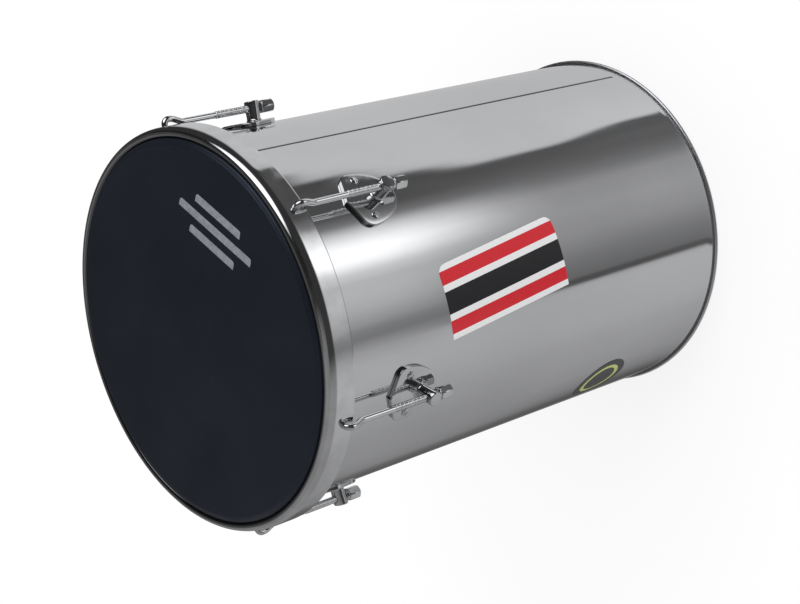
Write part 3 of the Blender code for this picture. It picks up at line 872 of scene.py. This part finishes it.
def head_film(scene, tree):
    """Satin black coated film: fine grain, faint clouds, and a cool sheen at its shoulder."""
    grain = bump(tree, object_noise(tree, 1900.0, detail=2.0), 0.000012)
    soft = bump(tree, object_noise(tree, 26.0, detail=2.0), 0.00005, grain)
    cloud = object_noise(tree, 11.0, detail=4.0)
    return {
        "Base Color": toned(tree, cloud, scene.rebolo_finish.film, 0.85, 1.25),
        "Roughness": between(tree, object_noise(tree, 38.0, detail=5.0, roughness=0.6), 0.34, 0.44),
        "Specular IOR Level": 0.45,
        "Specular Tint": (0.62, 0.74, 1.0, 1.0),
        "Sheen Weight": 0.02,
        "Sheen Tint": (0.45, 0.55, 1.0, 1.0),
        "Normal": bump(tree, eased_step(tree, axis_distance(tree), *FILM_SHOULDER), -0.0016, soft),
    }


def striped_label(scene, tree):
    """A printed vinyl label: white ground, a black band in the middle and red side bands."""
    finish = scene.rebolo_finish
    off = off_centre(tree, out(tree, "ShaderNodeSeparateXYZ", {"Vector": label_place(tree)}), 0.5)
    outside = maths(tree, "GREATER_THAN", off, 0.15)
    ground = mixed(tree, outside, full(finish.label_black), full(finish.label_white))
    return {
        "Base Color": mixed(tree, stripe(tree, off, 0.24, 0.42), ground, full(finish.label_red)),
        "Roughness": between(tree, object_noise(tree, 60.0), 0.22, 0.34),
    }


def disc_label(scene, tree):
    """A round printed label: dark ground with one pale ring."""
    finish = scene.rebolo_finish
    ends = {0: label_place(tree), 1: (0.5, 0.5, 0.0)}
    off = add_node(tree, "ShaderNodeVectorMath", ends, operation="DISTANCE").outputs["Value"]
    ring = stripe(tree, off, 0.30, 0.37)
    return {
        "Base Color": mixed(tree, ring, full(finish.disc_grey), full(finish.disc_green)),
        "Roughness": between(tree, object_noise(tree, 60.0), 0.25, 0.36),
    }


# Pieces


def finish_piece(obj, body, nodes=()):
    """Attach a piece to the body that it rides on, and hide the solids that it stands for."""
    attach(obj, body)
    if nodes:
        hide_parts(*nodes)


def make_shell(scene):
    """The rolled shell: a straight sheet with a curled hem at both ends."""
    shell = scene.rebolo_shell
    size = drum_sizes(scene)
    wall = shell.radius - shell.wall / 2
    low = size.hem_reach + shell.flare_length
    flared = (size.hem_radius + shell.flare_width, size.hem_reach)
    path = arc(flared, size.hem_line, pi, HEM_TURN, HEM_STEPS)[::-1]
    for part in parts(8):
        path.append((wall + shell.flare_width * (1 - part) ** 2, size.hem_reach + shell.flare_length * part))
    path += [(wall, low + (size.bearing - low) * part) for part in parts(30)[:-1]]
    path += arc((size.hem_radius, size.bearing), size.hem_line, pi, -HEM_TURN, HEM_STEPS)
    outline = eased(sheet_outline(path, shell.wall), 0.3 * MM)
    obj = turned_piece(scene, "polished_shell", outline, polished_sheet)
    press_seam(obj, shell)
    finish_piece(obj, "root", ["shell"])


def press_seam(obj, shell):
    """Press the lengthwise seam's groove into the shell's outside."""
    bm = bmesh.new()
    bm.from_mesh(obj.data)
    half = shell.seam_width / 2 / shell.radius
    ease = SEAM_SLOPE / shell.radius
    for offset in (-half - ease, -half, half, half + ease):
        at = shell.seam_angle + offset
        everything = bm.verts[:] + bm.edges[:] + bm.faces[:]
        square = (-sin(at), cos(at), 0)
        bmesh.ops.bisect_plane(bm, geom=everything, dist=1e-7, plane_co=(0, 0, 0), plane_no=square)
    for vertex in bm.verts:
        x, y, z = vertex.co
        radius = sqrt(x**2 + y**2)
        near = abs(atan2(y, x) - shell.seam_angle) < half + ease / 2
        outside = radius > shell.radius - shell.wall / 2
        if near and outside and shell.seam_margin < z < SHELL_TOP - shell.seam_margin:
            scale = (radius - shell.seam_depth) / radius
            vertex.co = (x * scale, y * scale, z)
    bm.to_mesh(obj.data)
    bm.free()
    obj.data.shade_smooth()
    obj.data.set_sharp_from_angle(angle=SHELL_SMOOTH_LIMIT)


def make_head(scene):
    """The film: flat over the bearing edge, down its collar and into its channel."""
    head = scene.rebolo_head
    size = drum_sizes(scene)
    path = [(size.hem_radius * FILM_FLAT * part, size.film_level) for part in parts(12, 0)]
    path += arc((size.hem_radius, size.bearing), size.bend, pi / 2, -pi / 2, 14)
    path.append((path[-1][0], size.bearing - head.collar))
    path.append((size.leg_radius, size.leg_top))
    path.append((size.leg_radius, size.leg_top - head.leg))
    obj = turned_piece(scene, "head_film", sheet_outline(path, head.film), head_film)
    finish_piece(obj, "hoop", ["head_skin"])


def make_channel(scene):
    """The flesh hoop: the channel that grips the film's edge."""
    head = scene.rebolo_head
    hoop = scene.rebolo_hoop
    size = drum_sizes(scene)
    path = [
        (size.channel_inner, size.channel_floor + head.channel_inner),
        (size.channel_inner, size.channel_floor),
        (size.channel_outer, size.channel_floor),
        (size.channel_outer, size.roll_height + hoop.roll - hoop.wall / 2 - 2 * size.gap),
    ]
    outline = eased(sheet_outline(path, head.channel_wall), 0.4 * MM)
    obj = turned_piece(scene, "flesh_channel", outline, channel_metal)
    finish_piece(obj, "hoop", ["flesh_hoop"])


def make_counterhoop(scene):
    """The band with its rolled edge, punched for the hooks."""
    hoop = scene.rebolo_hoop
    size = drum_sizes(scene)
    low = size.hoop_top - hoop.depth
    curve = size.hoop_top - hoop.wall / 2 - hoop.roll_fall
    power = 2 / hoop.roll_full
    path = [(size.band_radius, low + (curve - low) * part) for part in parts(14, 0)[:-1]]
    for part in parts(18, 0)[:-1]:
        across = hoop.roll * cos(pi / 2 * part) ** power
        path.append((size.channel_outer + across, curve + hoop.roll_fall * sin(pi / 2 * part) ** power))
    centre = (size.channel_outer, size.roll_height)
    path += arc(centre, hoop.roll, pi / 2, hoop.roll_turn - pi / 2, 10)
    outline = eased(sheet_outline(path, hoop.wall), hoop.edge)
    obj = turned_piece(scene, "rolled_hoop", outline, hoop_chrome)
    hole = scene.rebolo_rod.radius + DRILL_CLEARANCE
    reach = 4 * hoop.wall
    punches = []
    for number in STATION_NUMBERS:
        at = station_angle(number)
        start = polar(size.band_radius - reach, at, size.hook_height)
        end = polar(size.band_radius + reach, at, size.hook_height)
        punches.append(cutter(f"hook_punch_{number}", start, end, hole, 32))
    combined(obj, punches, "DIFFERENCE")
    finish_piece(obj, "hoop", ["counterhoop"])


def hook_rod_path(scene):
    """One hook rod's (x, z, radius) points, from the hook's tip to the threaded end."""
    rod = scene.rebolo_rod
    size = drum_sizes(scene)
    tip = size.hoop_radius - scene.rebolo_hoop.wall - rod.reach
    ease = rod.radius / 4
    path = [
        (tip, size.hook_height, rod.radius - ease),
        (tip + ease / 3, size.hook_height, rod.radius - ease / 3),
        (tip + ease, size.hook_height, rod.radius),
    ]
    centre = (size.rod_offset + rod.hump - rod.bend, size.hook_height - rod.bend)
    path += [(x, z, rod.radius) for x, z in arc(centre, rod.bend, pi / 2, -pi / 2, 14)]
    top = centre[1] - rod.straight
    for part in parts(18, 0):
        x = size.rod_offset + rod.hump * (1 + cos(pi * part)) / 2
        path.append((x, top - rod.settle * part, rod.radius))
    thread_top = size.rod_end + rod.thread_length
    path.append((size.rod_offset, thread_top + ease / 2, rod.radius))
    path.append((size.rod_offset, thread_top, rod.thread_root))
    path.append((size.rod_offset, size.rod_end + ease, rod.thread_root))
    path.append((size.rod_offset, size.rod_end, rod.thread_root - ease))
    return path


def make_hook_rods(scene):
    """The six hook rods, each a bent round wire with its thread."""
    rod = scene.rebolo_rod
    size = drum_sizes(scene)
    path = hook_rod_path(scene)
    across = Vector((0, 1, 0))
    rings = []
    for index, (x, z, radius) in enumerate(path):
        before = path[max(index - 1, 0)]
        after = path[min(index + 1, len(path) - 1)]
        along = Vector((after[0] - before[0], 0, after[1] - before[1])).normalized()
        outwards = along.cross(across)
        offsets = [(across * cos(at) + outwards * sin(at)) * radius for at in circle(24)]
        rings.append([Vector((x, 0, z)) + offset for offset in offsets])
    obj = ringed("hook_rods", rings, capped=True)
    ridge = rod.thread_radius - rod.thread_root
    values = {
        "Radius": rod.thread_root,
        "Ridge": ridge,
        "Pitch": rod.pitch,
        "Length": rod.thread_length - 2 * ridge,
        "Place": (size.rod_offset, 0.0, size.rod_end + ridge),
        "Material": drum_material(scene, rod_chrome),
    }
    nodes_modifier(obj, screw_thread, values)
    round_the_drum(scene, plain_mesh(obj), rod_chrome)
    finish_piece(obj, "hoop", station_nodes("hook_rod"))


def shield_outline(lug):
    """The shield's outline as (across, rise) points: a shallow chevron over half an ellipse."""
    corner = Vector((lug.half_width, lug.corner))
    slope = corner.lerp(Vector((0.0, lug.front)), lug.corner_round / lug.half_width)
    half = bent(slope, corner, Vector((lug.half_width, lug.shoulder)), 8)
    points = [(0.0, lug.front)] + [tuple(point) for point in half]
    for part in parts(40)[:-1]:
        across = lug.half_width * cos(pi * part)
        points.append((across, lug.shoulder - (lug.shoulder + lug.rear) * sin(pi * part)))
    points += [(-point.x, point.y) for point in reversed(half)]
    return spaced(eased(points, lug.corner_round, 5, SHALLOW_CORNER), SHIELD_PITCH)


def lug_shield(scene):
    """The shield, bent round the shell, with a rounded edge."""
    lug = scene.rebolo_lug
    size = drum_sizes(scene)

    def place(across, rise, height):
        turn = across / scene.rebolo_shell.radius
        return polar(size.plate_inner + height, turn, size.lug_height + rise)

    levels = [(0.0, 0.0), (0.0, (lug.thickness - lug.edge) / 2), (0.0, lug.thickness - lug.edge)]
    for x, y in arc((0, 0), lug.edge, 0, pi / 2, 6)[1:]:
        levels.append((lug.edge - x, lug.thickness - (lug.edge - y)))
    return domed_pad("lug_brackets", shield_outline(lug), place, levels)


def lug_post(scene):
    """The round post, with a fillet at its foot and a rounded tip."""
    lug = scene.rebolo_lug
    size = drum_sizes(scene)
    fillet = lug.foot_round
    levels = [(size.plate_outer - lug.thickness / 2, lug.post_base + fillet)]
    for part in parts(8, 0):
        rise = part * fillet
        widening = fillet - sqrt(max(fillet**2 - (fillet - rise) ** 2, 0.0))
        levels.append((size.plate_outer + rise - POST_SINK, lug.post_base + widening))
    start, base = levels[-1]
    end = size.rod_offset + lug.tip_margin - lug.tip_round
    levels += [(start + (end - start) * part, base + (lug.post_tip - base) * part) for part in parts(6)]
    for x, y in arc((0, 0), lug.tip_round, 0, pi / 2, 6)[1:]:
        levels.append((end + y, lug.post_tip - (lug.tip_round - x)))
    rings = []
    for offset, radius in levels:
        middle = size.lug_height - (offset - size.rod_offset) * tan(lug.lean)
        rings.append([(offset, radius * cos(at), middle + radius * sin(at)) for at in circle(64)])
    return ringed("lug_post", rings, capped=True)


def make_lug_brackets(scene):
    """The six cast lug brackets."""
    lug = scene.rebolo_lug
    size = drum_sizes(scene)
    obj = combined(lug_shield(scene), [lug_post(scene)], "UNION")
    low = (size.rod_offset, 0, size.lug_height - 2 * lug.post_tip)
    high = (size.rod_offset, 0, size.lug_height + 2 * lug.post_tip)
    face = (size.rod_offset, 0, size.nut_top + size.gap)
    drill = cutter("rod_drill", low, high, scene.rebolo_rod.thread_radius + DRILL_CLEARANCE)
    spot = cutter("spot_facer", low, face, scene.rebolo_nut.collar_radius + DRILL_CLEARANCE)
    combined(obj, [drill, spot], "DIFFERENCE")
    round_the_drum(scene, obj, cast_chrome)
    finish_piece(obj, "root", station_nodes("lug_bracket"))


def bracket_pair(obj, scene, radius):
    """Two copies of a part that points outwards, one at each screw of a bracket."""
    size = drum_sizes(scene)
    bm = bmesh.new()
    for at in (-size.screw_angle, size.screw_angle):
        turn = Matrix.Rotation(at, 4, "Z") @ Matrix.Rotation(pi / 2, 4, "Y")
        copy = obj.data.copy()
        copy.transform(Matrix.Translation(polar(radius, at, size.screw_height)) @ turn)
        bm.from_mesh(copy)
        bpy.data.meshes.remove(copy)
    bm.to_mesh(obj.data)
    bm.free()


def make_bracket_screws(scene):
    """The round-headed screws that hold the brackets, each with a cross in its head."""
    lug = scene.rebolo_lug
    size = drum_sizes(scene)
    seat = size.plate_outer + size.gap * 0.4
    tail = seat - (size.nut_seat - lug.nut_height - lug.screw_tail)
    outline = [(lug.screw_radius * 0.8, -tail), (lug.screw_radius, -tail + 0.4 * MM)]
    outline += [(lug.screw_radius, 0), (lug.screw_head * 0.97, 0)]
    for x, y in arc((0, 0), 1.0, 0, pi / 2, 10)[:-1]:
        outline.append((x**0.9 * lug.screw_head, y * lug.screw_dome))
    rings = [[(radius * cos(at), radius * sin(at), z) for at in circle(32)] for radius, z in outline]
    screw = ringed("bracket_screws", [[(0, 0, -tail)]] + rings + [[(0, 0, lug.screw_dome)]])
    middle = Vector((0, 0, lug.screw_dome))
    cross = []
    for turn in (0, pi / 2):
        half = polar(lug.screw_radius, turn, 0)
        cross.append(slot_cutter("cross_recess", middle - half, middle + half, CROSS_HALF_WIDTH, CROSS_DEPTH))
    combined(screw, cross, "DIFFERENCE")
    bracket_pair(screw, scene, seat)
    round_the_drum(scene, screw, rod_chrome)
    finish_piece(screw, "root", station_nodes("lug_screw", "ab"))


def hexagon_nut(name, flats, height, face_inset, bore, top=0.0, collar=(), sides=96):
    """A hexagon nut whose corners are cut back by a cone at both faces, as a lathe leaves them.

    collar has the (height, radius) pairs of its upper end, where that isn't a plain face.
    """
    face = flats / 2 - face_inset
    bottom = top - height
    corner = flats / 2 / cos(pi / 6) - CORNER_EDGE
    depth = (flats / 2 / cos(pi / 6) - flats / 2 + face_inset) * NUT_SLOPE
    cone = [(depth * part, face + depth * part / NUT_SLOPE) for part in parts(5)]
    levels = list(collar) or [(top, bore)]
    levels += [(top, face)] + [(top - down, radius) for down, radius in cone]
    levels += [(bottom + up, radius) for up, radius in reversed(cone)]
    levels += [(bottom, face), (bottom, bore + BORE_EDGE), (bottom + BORE_EDGE, bore)]
    rings = []
    for z, radius in levels:
        ring = []
        for at in circle(sides):
            side = flats / 2 / cos((at + pi / 6) % (pi / 3) - pi / 6)
            reach = min(radius, side, corner)
            ring.append((reach * cos(at), reach * sin(at), z))
        rings.append(ring)
    return ringed(name, rings, closed=True)


def make_inner_nuts(scene):
    """The hexagon nuts inside the shell."""
    lug = scene.rebolo_lug
    size = drum_sizes(scene)
    bore = lug.screw_radius + size.gap
    obj = hexagon_nut("inner_nuts", lug.nut_flats, lug.nut_height, 0.25 * MM, bore, sides=48)
    bracket_pair(obj, scene, size.nut_seat)
    round_the_drum(scene, obj, zinc_plate)
    finish_piece(obj, "root", station_nodes("screw_nut", "ab"))


def make_tension_nuts(scene):
    """The six long tension nuts, each on its own body."""
    nut = scene.rebolo_nut
    size = drum_sizes(scene)
    bore = scene.rebolo_rod.thread_radius + size.gap
    top = -nut.collar
    radius = nut.collar_radius
    collar = [(0.0, bore), (0.0, radius - COLLAR_EDGE), (-COLLAR_ROUND, radius - COLLAR_ROUND)]
    collar += [(-COLLAR_EDGE, radius), (top, radius)]
    for number in STATION_NUMBERS:
        obj = hexagon_nut(f"long_nut_{number}", nut.flats, nut.height, nut.face_inset, bore, top, collar)
        obj.data.transform(Matrix.Translation((size.rod_offset, 0, size.nut_top)))
        round_the_drum(scene, obj, rod_chrome, 1, number)
        finish_piece(obj, f"nut_{number}", [f"tension_nut_{number}"])


def rectangle(wide, long, radius):
    """A closed outline of a rectangle, its corners to the right rounded."""
    corners = [(wide / 2, long / 2), (-wide / 2, long / 2), (-wide / 2, -long / 2), (wide / 2, -long / 2)]
    return spaced(eased(corners, radius, 8, SHALLOW_CORNER), LABEL_PITCH)


def finish_label(obj, maker, scene, body):
    """Give a label its material and say what it rides on."""
    obj.data.materials.append(drum_material(scene, maker))
    finish_piece(plain_mesh(obj), body)


def shell_label(scene, maker, outline, centre_angle, centre_height, tilt=0.0):
    """A thin label on the shell's outside, named as its material."""
    radius = scene.rebolo_shell.radius + LABEL_LIFT

    def place(across, along, rise):
        x = across * cos(tilt) - along * sin(tilt)
        z = across * sin(tilt) + along * cos(tilt)
        return polar(radius + rise, centre_angle + x / radius, centre_height + z)

    levels = [(0.0, 0.0), (0.0, scene.rebolo_label.film)]
    label = domed_pad(maker.__name__, outline, place, levels, rings=20)
    finish_label(label, maker, scene, "root")


def make_labels(scene):
    """The plain labels: striped on the shell, one mark on the head and one round label."""
    label = scene.rebolo_label
    outline = rectangle(label.shell_wide, label.shell_long, LABEL_CORNER)
    shell_label(scene, striped_label, outline, label.shell_angle, label.shell_height, label.shell_tilt)
    outline = arc((0, 0), label.disc_radius, 0, TURN * 71 / 72, 71)
    shell_label(scene, disc_label, outline, label.disc_angle, label.disc_height)

    turn = Matrix.Rotation(label.head_angle, 4, "Z")
    bar = label.head_wide / 5
    bm = bmesh.new()
    for row, share_long in ((-1, 0.62), (0, 1.0), (1, 0.62)):

        def place(across, along, rise, row=row):
            return turn @ Vector((label.head_radius + across + row * bar * 2, along, HEAD_TOP - rise))

        outline = rectangle(bar, label.head_long * share_long, bar * 0.45)
        levels = [(0.0, 2 * scene.rebolo_head.ink), (0.0, 0.0)]
        strip = domed_pad("head_bar", outline, place, levels, rings=2)
        bm.from_mesh(strip.data)
        bpy.data.objects.remove(strip, do_unlink=True)
    finish_label(mesh_from("head_mark", bm), head_print, scene, "hoop")


# Studio


def grey_ramp(tree, value, stops):
    """A ramp of grey levels. stops are (azimuth in degrees, level) pairs, in order."""
    ramp = add_node(tree, "ShaderNodeValToRGB", {"Fac": value})
    elements = ramp.color_ramp.elements
    while len(elements) > 1:
        elements.remove(elements[-1])
    for index, (degrees, level) in enumerate(stops):
        position = degrees / 360 + 0.5
        element = elements[0] if index == 0 else elements.new(position)
        element.position = position
        element.color = (level, level, level * 1.01, 1.0)
    return ramp.outputs["Color"]


# Levels that the polished metal sees, by azimuth, from low down to overhead
LOW_LEVELS = (
    (-180, 0.52), (-166, 0.40), (-158, 0.17), (-152, 0.09), (-145, 0.10), (-139, 0.15), (-129, 0.24),
    (-113, 0.33), (-97, 0.38), (-81, 0.42), (-65, 0.48), (-41, 0.51), (-35.5, 0.50), (-34, 0.09),
    (-31, 0.09), (-29.5, 0.17), (-17, 0.23), (-1, 0.35), (15, 0.40), (31, 0.35), (39, 0.22),
    (47, 0.155), (55, 0.12), (62, 0.11), (64.5, 0.68), (87, 0.64), (103, 0.61), (143, 0.55), (170, 0.53),
)
NEAR_LEVELS = (
    (-180, 0.30), (-163, 0.13), (-151, 0.11), (-143, 0.15), (-135, 0.26), (-119, 0.32), (-102, 0.35),
    (-77, 0.42), (-60, 0.49), (-52, 0.51), (-43, 0.50), (-35, 0.42), (-27, 0.23), (-22, 0.27),
    (-18, 0.38), (-9, 0.53), (-1, 0.60), (7, 0.62), (13, 0.82), (19, 1.35), (25, 1.60), (31, 1.30),
    (37, 0.84), (43, 0.23), (50, 0.10), (57, 0.065), (60.3, 0.05), (62.7, 0.58), (69, 0.66),
    (94, 0.62), (130, 0.59), (165, 0.55),
)
SIDE_LEVELS = (
    (-180, 0.03), (-170, 0.03), (-165, 0.12), (-158, 0.20), (-140, 0.26), (-60, 0.30),
    (-38, 0.26), (-26, 0.05), (20, 0.035), (140, 0.035), (165, 0.03),
)
HIGH_LEVELS = (
    (-180, 0.065), (-172, 0.065), (-167, 0.13), (-157, 0.22), (-60, 0.26), (-20, 0.20),
    (2, 0.04), (20, 0.015), (150, 0.015), (168, 0.06),
)

# Where the strip that leans ends, its lean at the rear, and how far it leans over each stretch of height
LEAN_FROM = radians(52)
LEAN_AT_REAR = radians(6.5)
LEANS = ((-0.745, -0.715, -6.5), (-0.686, -0.655, 7.5), (-0.642, -0.628, 9.5), (-0.608, -0.602, 9.0))

# The bright round lamp's direction in degrees, and where its edge fades
LAMP_AZIMUTH = radians(77)
LAMP_ELEVATION = radians(26)
LAMP_FADE = (cos(radians(34)), cos(radians(23)))
LAMP_COLOUR = (1.6, 1.6, 1.65, 1.0)

# The floor: its colour in light and in reflections, and how much of what the camera sees is plain white
WHITE = (1.0, 1.0, 1.0, 1.0)
FLOOR_GREY = (0.72, 0.72, 0.72, 1.0)
FLOOR_GLOW = 0.74

# The grey straight overhead
OVERHEAD = (0.03, 0.03, 0.03, 1.0)

# The key lamp's place, what it points at and its side
KEY_PLACE = (0.9, 1.9, 2.4)
KEY_TARGET = (0, 0, 0.2)
KEY_SIDE = 1.8

# The camera's place, its right and its up
CAMERA_PLACE = (1.1602, 0.0881, 1.2150)
CAMERA_RIGHT = (0.63593016, -0.22511136, -0.73818541)
CAMERA_UP = (0.08996559, 0.97161507, -0.21879295)


def leaning_azimuth(tree, azimuth, rise):
    """The azimuth with the strips past LEAN_FROM leaning round as they rise."""
    moved = maths(tree, "SUBTRACT", azimuth, LEAN_AT_REAR)
    for low, high, degrees in LEANS:
        moved = maths(tree, "MULTIPLY_ADD", eased_step(tree, rise, low, high), -radians(degrees), moved)
    return maths(tree, "MAXIMUM", moved, maths(tree, "MINIMUM", azimuth, LEAN_FROM))


def lamp_mask(tree, way):
    """1 inside the round soft lamp and 0 outside it."""
    centre = polar(cos(LAMP_ELEVATION), LAMP_AZIMUTH, sin(LAMP_ELEVATION))
    near = add_node(tree, "ShaderNodeVectorMath", {0: way, 1: centre}, operation="DOT_PRODUCT")
    return eased_step(tree, near.outputs["Value"], *LAMP_FADE)


def make_world(scene):
    """White behind the drum, soft light on it, and a studio for its polished metal."""
    world = bpy.data.worlds.new("studio")
    scene.world = world
    world.use_nodes = True
    tree = world.node_tree
    tree.nodes.clear()
    way = add_node(tree, "ShaderNodeTexCoord").outputs["Generated"]
    x, y, rise = add_node(tree, "ShaderNodeSeparateXYZ", {"Vector": way}).outputs
    azimuth = maths(tree, "ARCTAN2", y, x)
    leaning = maths(tree, "MULTIPLY_ADD", leaning_azimuth(tree, azimuth, rise), 1 / TURN, 0.5)
    upright = maths(tree, "MULTIPLY_ADD", azimuth, 1 / TURN, 0.5)
    seen = grey_ramp(tree, leaning, LOW_LEVELS)

    # each layer fades in over a stretch of the view's rise
    layers = (
        (-0.71, -0.63, grey_ramp(tree, leaning, NEAR_LEVELS)),
        (-0.57, -0.48, grey_ramp(tree, upright, SIDE_LEVELS)),
        (0.05, 0.30, grey_ramp(tree, upright, HIGH_LEVELS)),
        (0.955, 0.985, OVERHEAD),
    )
    for low, high, layer in layers:
        seen = mixed(tree, eased_step(tree, rise, low, high), seen, layer)
    lamp = out(tree, "ShaderNodeRGB")
    lamp.default_value = LAMP_COLOUR
    seen = mixed(tree, lamp_mask(tree, way), seen, lamp)
    studio = out(tree, "ShaderNodeBackground", {"Color": seen, "Strength": 1.0})
    sky = out(tree, "ShaderNodeBackground", {"Color": WHITE, "Strength": scene.rebolo_stage.sky})
    white = out(tree, "ShaderNodeBackground", {"Color": WHITE, "Strength": 1.0})
    ray = add_node(tree, "ShaderNodeLightPath").outputs
    lit = out(tree, "ShaderNodeMixShader", {0: ray["Is Glossy Ray"], 1: sky, 2: studio})
    shown = out(tree, "ShaderNodeMixShader", {0: ray["Is Camera Ray"], 1: lit, 2: white})
    add_node(tree, "ShaderNodeOutputWorld", {"Surface": shown})


def make_floor(scene):
    """A plain pale floor under the drum's rear rim."""
    side = scene.rebolo_stage.floor / 2
    mesh = bpy.data.meshes.new("floor")
    corners = [(-side, -side, 0), (side, -side, 0), (side, side, 0), (-side, side, 0)]
    mesh.from_pydata(corners, [], [(0, 1, 2, 3)])
    floor = link_object("floor", mesh)
    material = bpy.data.materials.new("pale_floor")
    material.use_nodes = True
    tree = material.node_tree
    tree.nodes.remove(tree.nodes["Principled BSDF"])
    shown = add_node(tree, "ShaderNodeLightPath").outputs["Is Camera Ray"]
    pale = mixed(tree, shown, FLOOR_GREY, WHITE)
    matt = out(tree, "ShaderNodeBsdfDiffuse", {"Color": pale})
    glow = out(tree, "ShaderNodeEmission", {"Color": WHITE, "Strength": 1.0})
    part = maths(tree, "MULTIPLY", shown, FLOOR_GLOW)
    surface = out(tree, "ShaderNodeMixShader", {0: part, 1: matt, 2: glow})
    set_inputs(tree, tree.nodes["Material Output"], {"Surface": surface})
    mesh.materials.append(material)
    floor.visible_glossy = False


def make_key_lamp(scene):
    """A soft square lamp that the polished metal doesn't show."""
    data = bpy.data.lights.new("key_lamp", "AREA")
    data.energy = scene.rebolo_stage.key
    data.size = KEY_SIDE
    lamp = link_object("key_lamp", data)
    lamp.location = KEY_PLACE
    aim = Vector(KEY_TARGET) - lamp.location
    lamp.rotation_euler = aim.to_track_quat("-Z", "Y").to_euler()
    lamp.visible_glossy = False


def make_camera(scene):
    """The camera, fitted to the photograph."""
    data = bpy.data.cameras.new("camera")
    data.sensor_width = 36.0
    data.lens = scene.rebolo_stage.lens
    data.clip_start = 0.01
    data.clip_end = 50.0
    camera = link_object("camera", data)
    right = Vector(CAMERA_RIGHT)
    up = Vector(CAMERA_UP)
    turn = Matrix((right, up, right.cross(up))).transposed().to_4x4()
    camera.matrix_world = Matrix.Translation(CAMERA_PLACE) @ turn
    scene.camera = camera


def make_stage(scene):
    """Floor, light and camera."""
    scene.view_settings.view_transform = "Standard"
    make_world(scene)
    make_floor(scene)
    make_key_lamp(scene)
    make_camera(scene)


# The add-on


class REBOLO_OT_stage(Operator):
    """Set up the floor, the soft light and the camera"""

    bl_idname = "rebolo.stage"
    bl_label = "Stage"

    def execute(self, context):
        make_stage(context.scene)
        return {"FINISHED"}


class REBOLO_OT_shell(Operator):
    """Build the rolled shell with its hems and seam"""

    bl_idname = "rebolo.shell"
    bl_label = "Shell"

    def execute(self, context):
        make_shell(context.scene)
        return {"FINISHED"}


class REBOLO_OT_head(Operator):
    """Build the head's film"""

    bl_idname = "rebolo.head"
    bl_label = "Head"

    def execute(self, context):
        make_head(context.scene)
        return {"FINISHED"}


class REBOLO_OT_channel(Operator):
    """Build the flesh hoop that grips the film"""

    bl_idname = "rebolo.channel"
    bl_label = "Flesh hoop"

    def execute(self, context):
        make_channel(context.scene)
        return {"FINISHED"}


class REBOLO_OT_counterhoop(Operator):
    """Build the rolled counterhoop with its hook holes"""

    bl_idname = "rebolo.counterhoop"
    bl_label = "Counterhoop"

    def execute(self, context):
        make_counterhoop(context.scene)
        return {"FINISHED"}


class REBOLO_OT_hook_rods(Operator):
    """Build the hook rods and their threads"""

    bl_idname = "rebolo.hook_rods"
    bl_label = "Hook rods"

    def execute(self, context):
        make_hook_rods(context.scene)
        return {"FINISHED"}


class REBOLO_OT_lug_brackets(Operator):
    """Build the cast lug brackets"""

    bl_idname = "rebolo.lug_brackets"
    bl_label = "Lug brackets"

    def execute(self, context):
        make_lug_brackets(context.scene)
        return {"FINISHED"}


class REBOLO_OT_fixings(Operator):
    """Build the bracket screws and their inner nuts"""

    bl_idname = "rebolo.fixings"
    bl_label = "Bracket screws"

    def execute(self, context):
        make_bracket_screws(context.scene)
        make_inner_nuts(context.scene)
        return {"FINISHED"}


class REBOLO_OT_tension_nuts(Operator):
    """Build the long tension nuts"""

    bl_idname = "rebolo.tension_nuts"
    bl_label = "Tension nuts"

    def execute(self, context):
        make_tension_nuts(context.scene)
        return {"FINISHED"}


class REBOLO_OT_labels(Operator):
    """Lay the plain labels on the shell and the head"""

    bl_idname = "rebolo.labels"
    bl_label = "Labels"

    def execute(self, context):
        make_labels(context.scene)
        return {"FINISHED"}


SETTINGS = (
    ("rebolo_shell", ShellSizes),
    ("rebolo_head", HeadSizes),
    ("rebolo_hoop", HoopSizes),
    ("rebolo_rod", RodSizes),
    ("rebolo_lug", LugSizes),
    ("rebolo_nut", NutSizes),
    ("rebolo_label", LabelSizes),
    ("rebolo_finish", Finishes),
    ("rebolo_stage", StageSizes),
)

OPERATORS = (
    REBOLO_OT_stage,
    REBOLO_OT_shell,
    REBOLO_OT_head,
    REBOLO_OT_channel,
    REBOLO_OT_counterhoop,
    REBOLO_OT_hook_rods,
    REBOLO_OT_lug_brackets,
    REBOLO_OT_fixings,
    REBOLO_OT_tension_nuts,
    REBOLO_OT_labels,
)


class REBOLO_PT_drum(Panel):
    """Buttons and settings for the drum's pieces"""

    bl_idname = "REBOLO_PT_drum"
    bl_label = "Rebolo drum"
    bl_space_type = "VIEW_3D"
    bl_region_type = "UI"
    bl_category = "Rebolo"

    def draw(self, context):
        layout = self.layout
        for operator in OPERATORS:
            layout.operator(operator.bl_idname)
        for name, group in SETTINGS:
            box = layout.box()
            settings = getattr(context.scene, name)
            for key in group.__annotations__:
                box.prop(settings, key)


def register():
    """Register the settings, the operators and the panel."""
    for name, group in SETTINGS:
        bpy.utils.register_class(group)
        setattr(bpy.types.Scene, name, PointerProperty(type=group))
    for operator in OPERATORS:
        bpy.utils.register_class(operator)
    bpy.utils.register_class(REBOLO_PT_drum)


def unregister():
    """Take back what register added."""
    bpy.utils.unregister_class(REBOLO_PT_drum)
    for operator in reversed(OPERATORS):
        bpy.utils.unregister_class(operator)
    for name, group in reversed(SETTINGS):
        delattr(bpy.types.Scene, name)
        bpy.utils.unregister_class(group)


def main():
    """Register the add-on, then build every piece in order."""
    register()
    for operator in OPERATORS:
        group, name = operator.bl_idname.split(".")
        getattr(getattr(bpy.ops, group), name)()


if __name__ == "__main__":
    main()
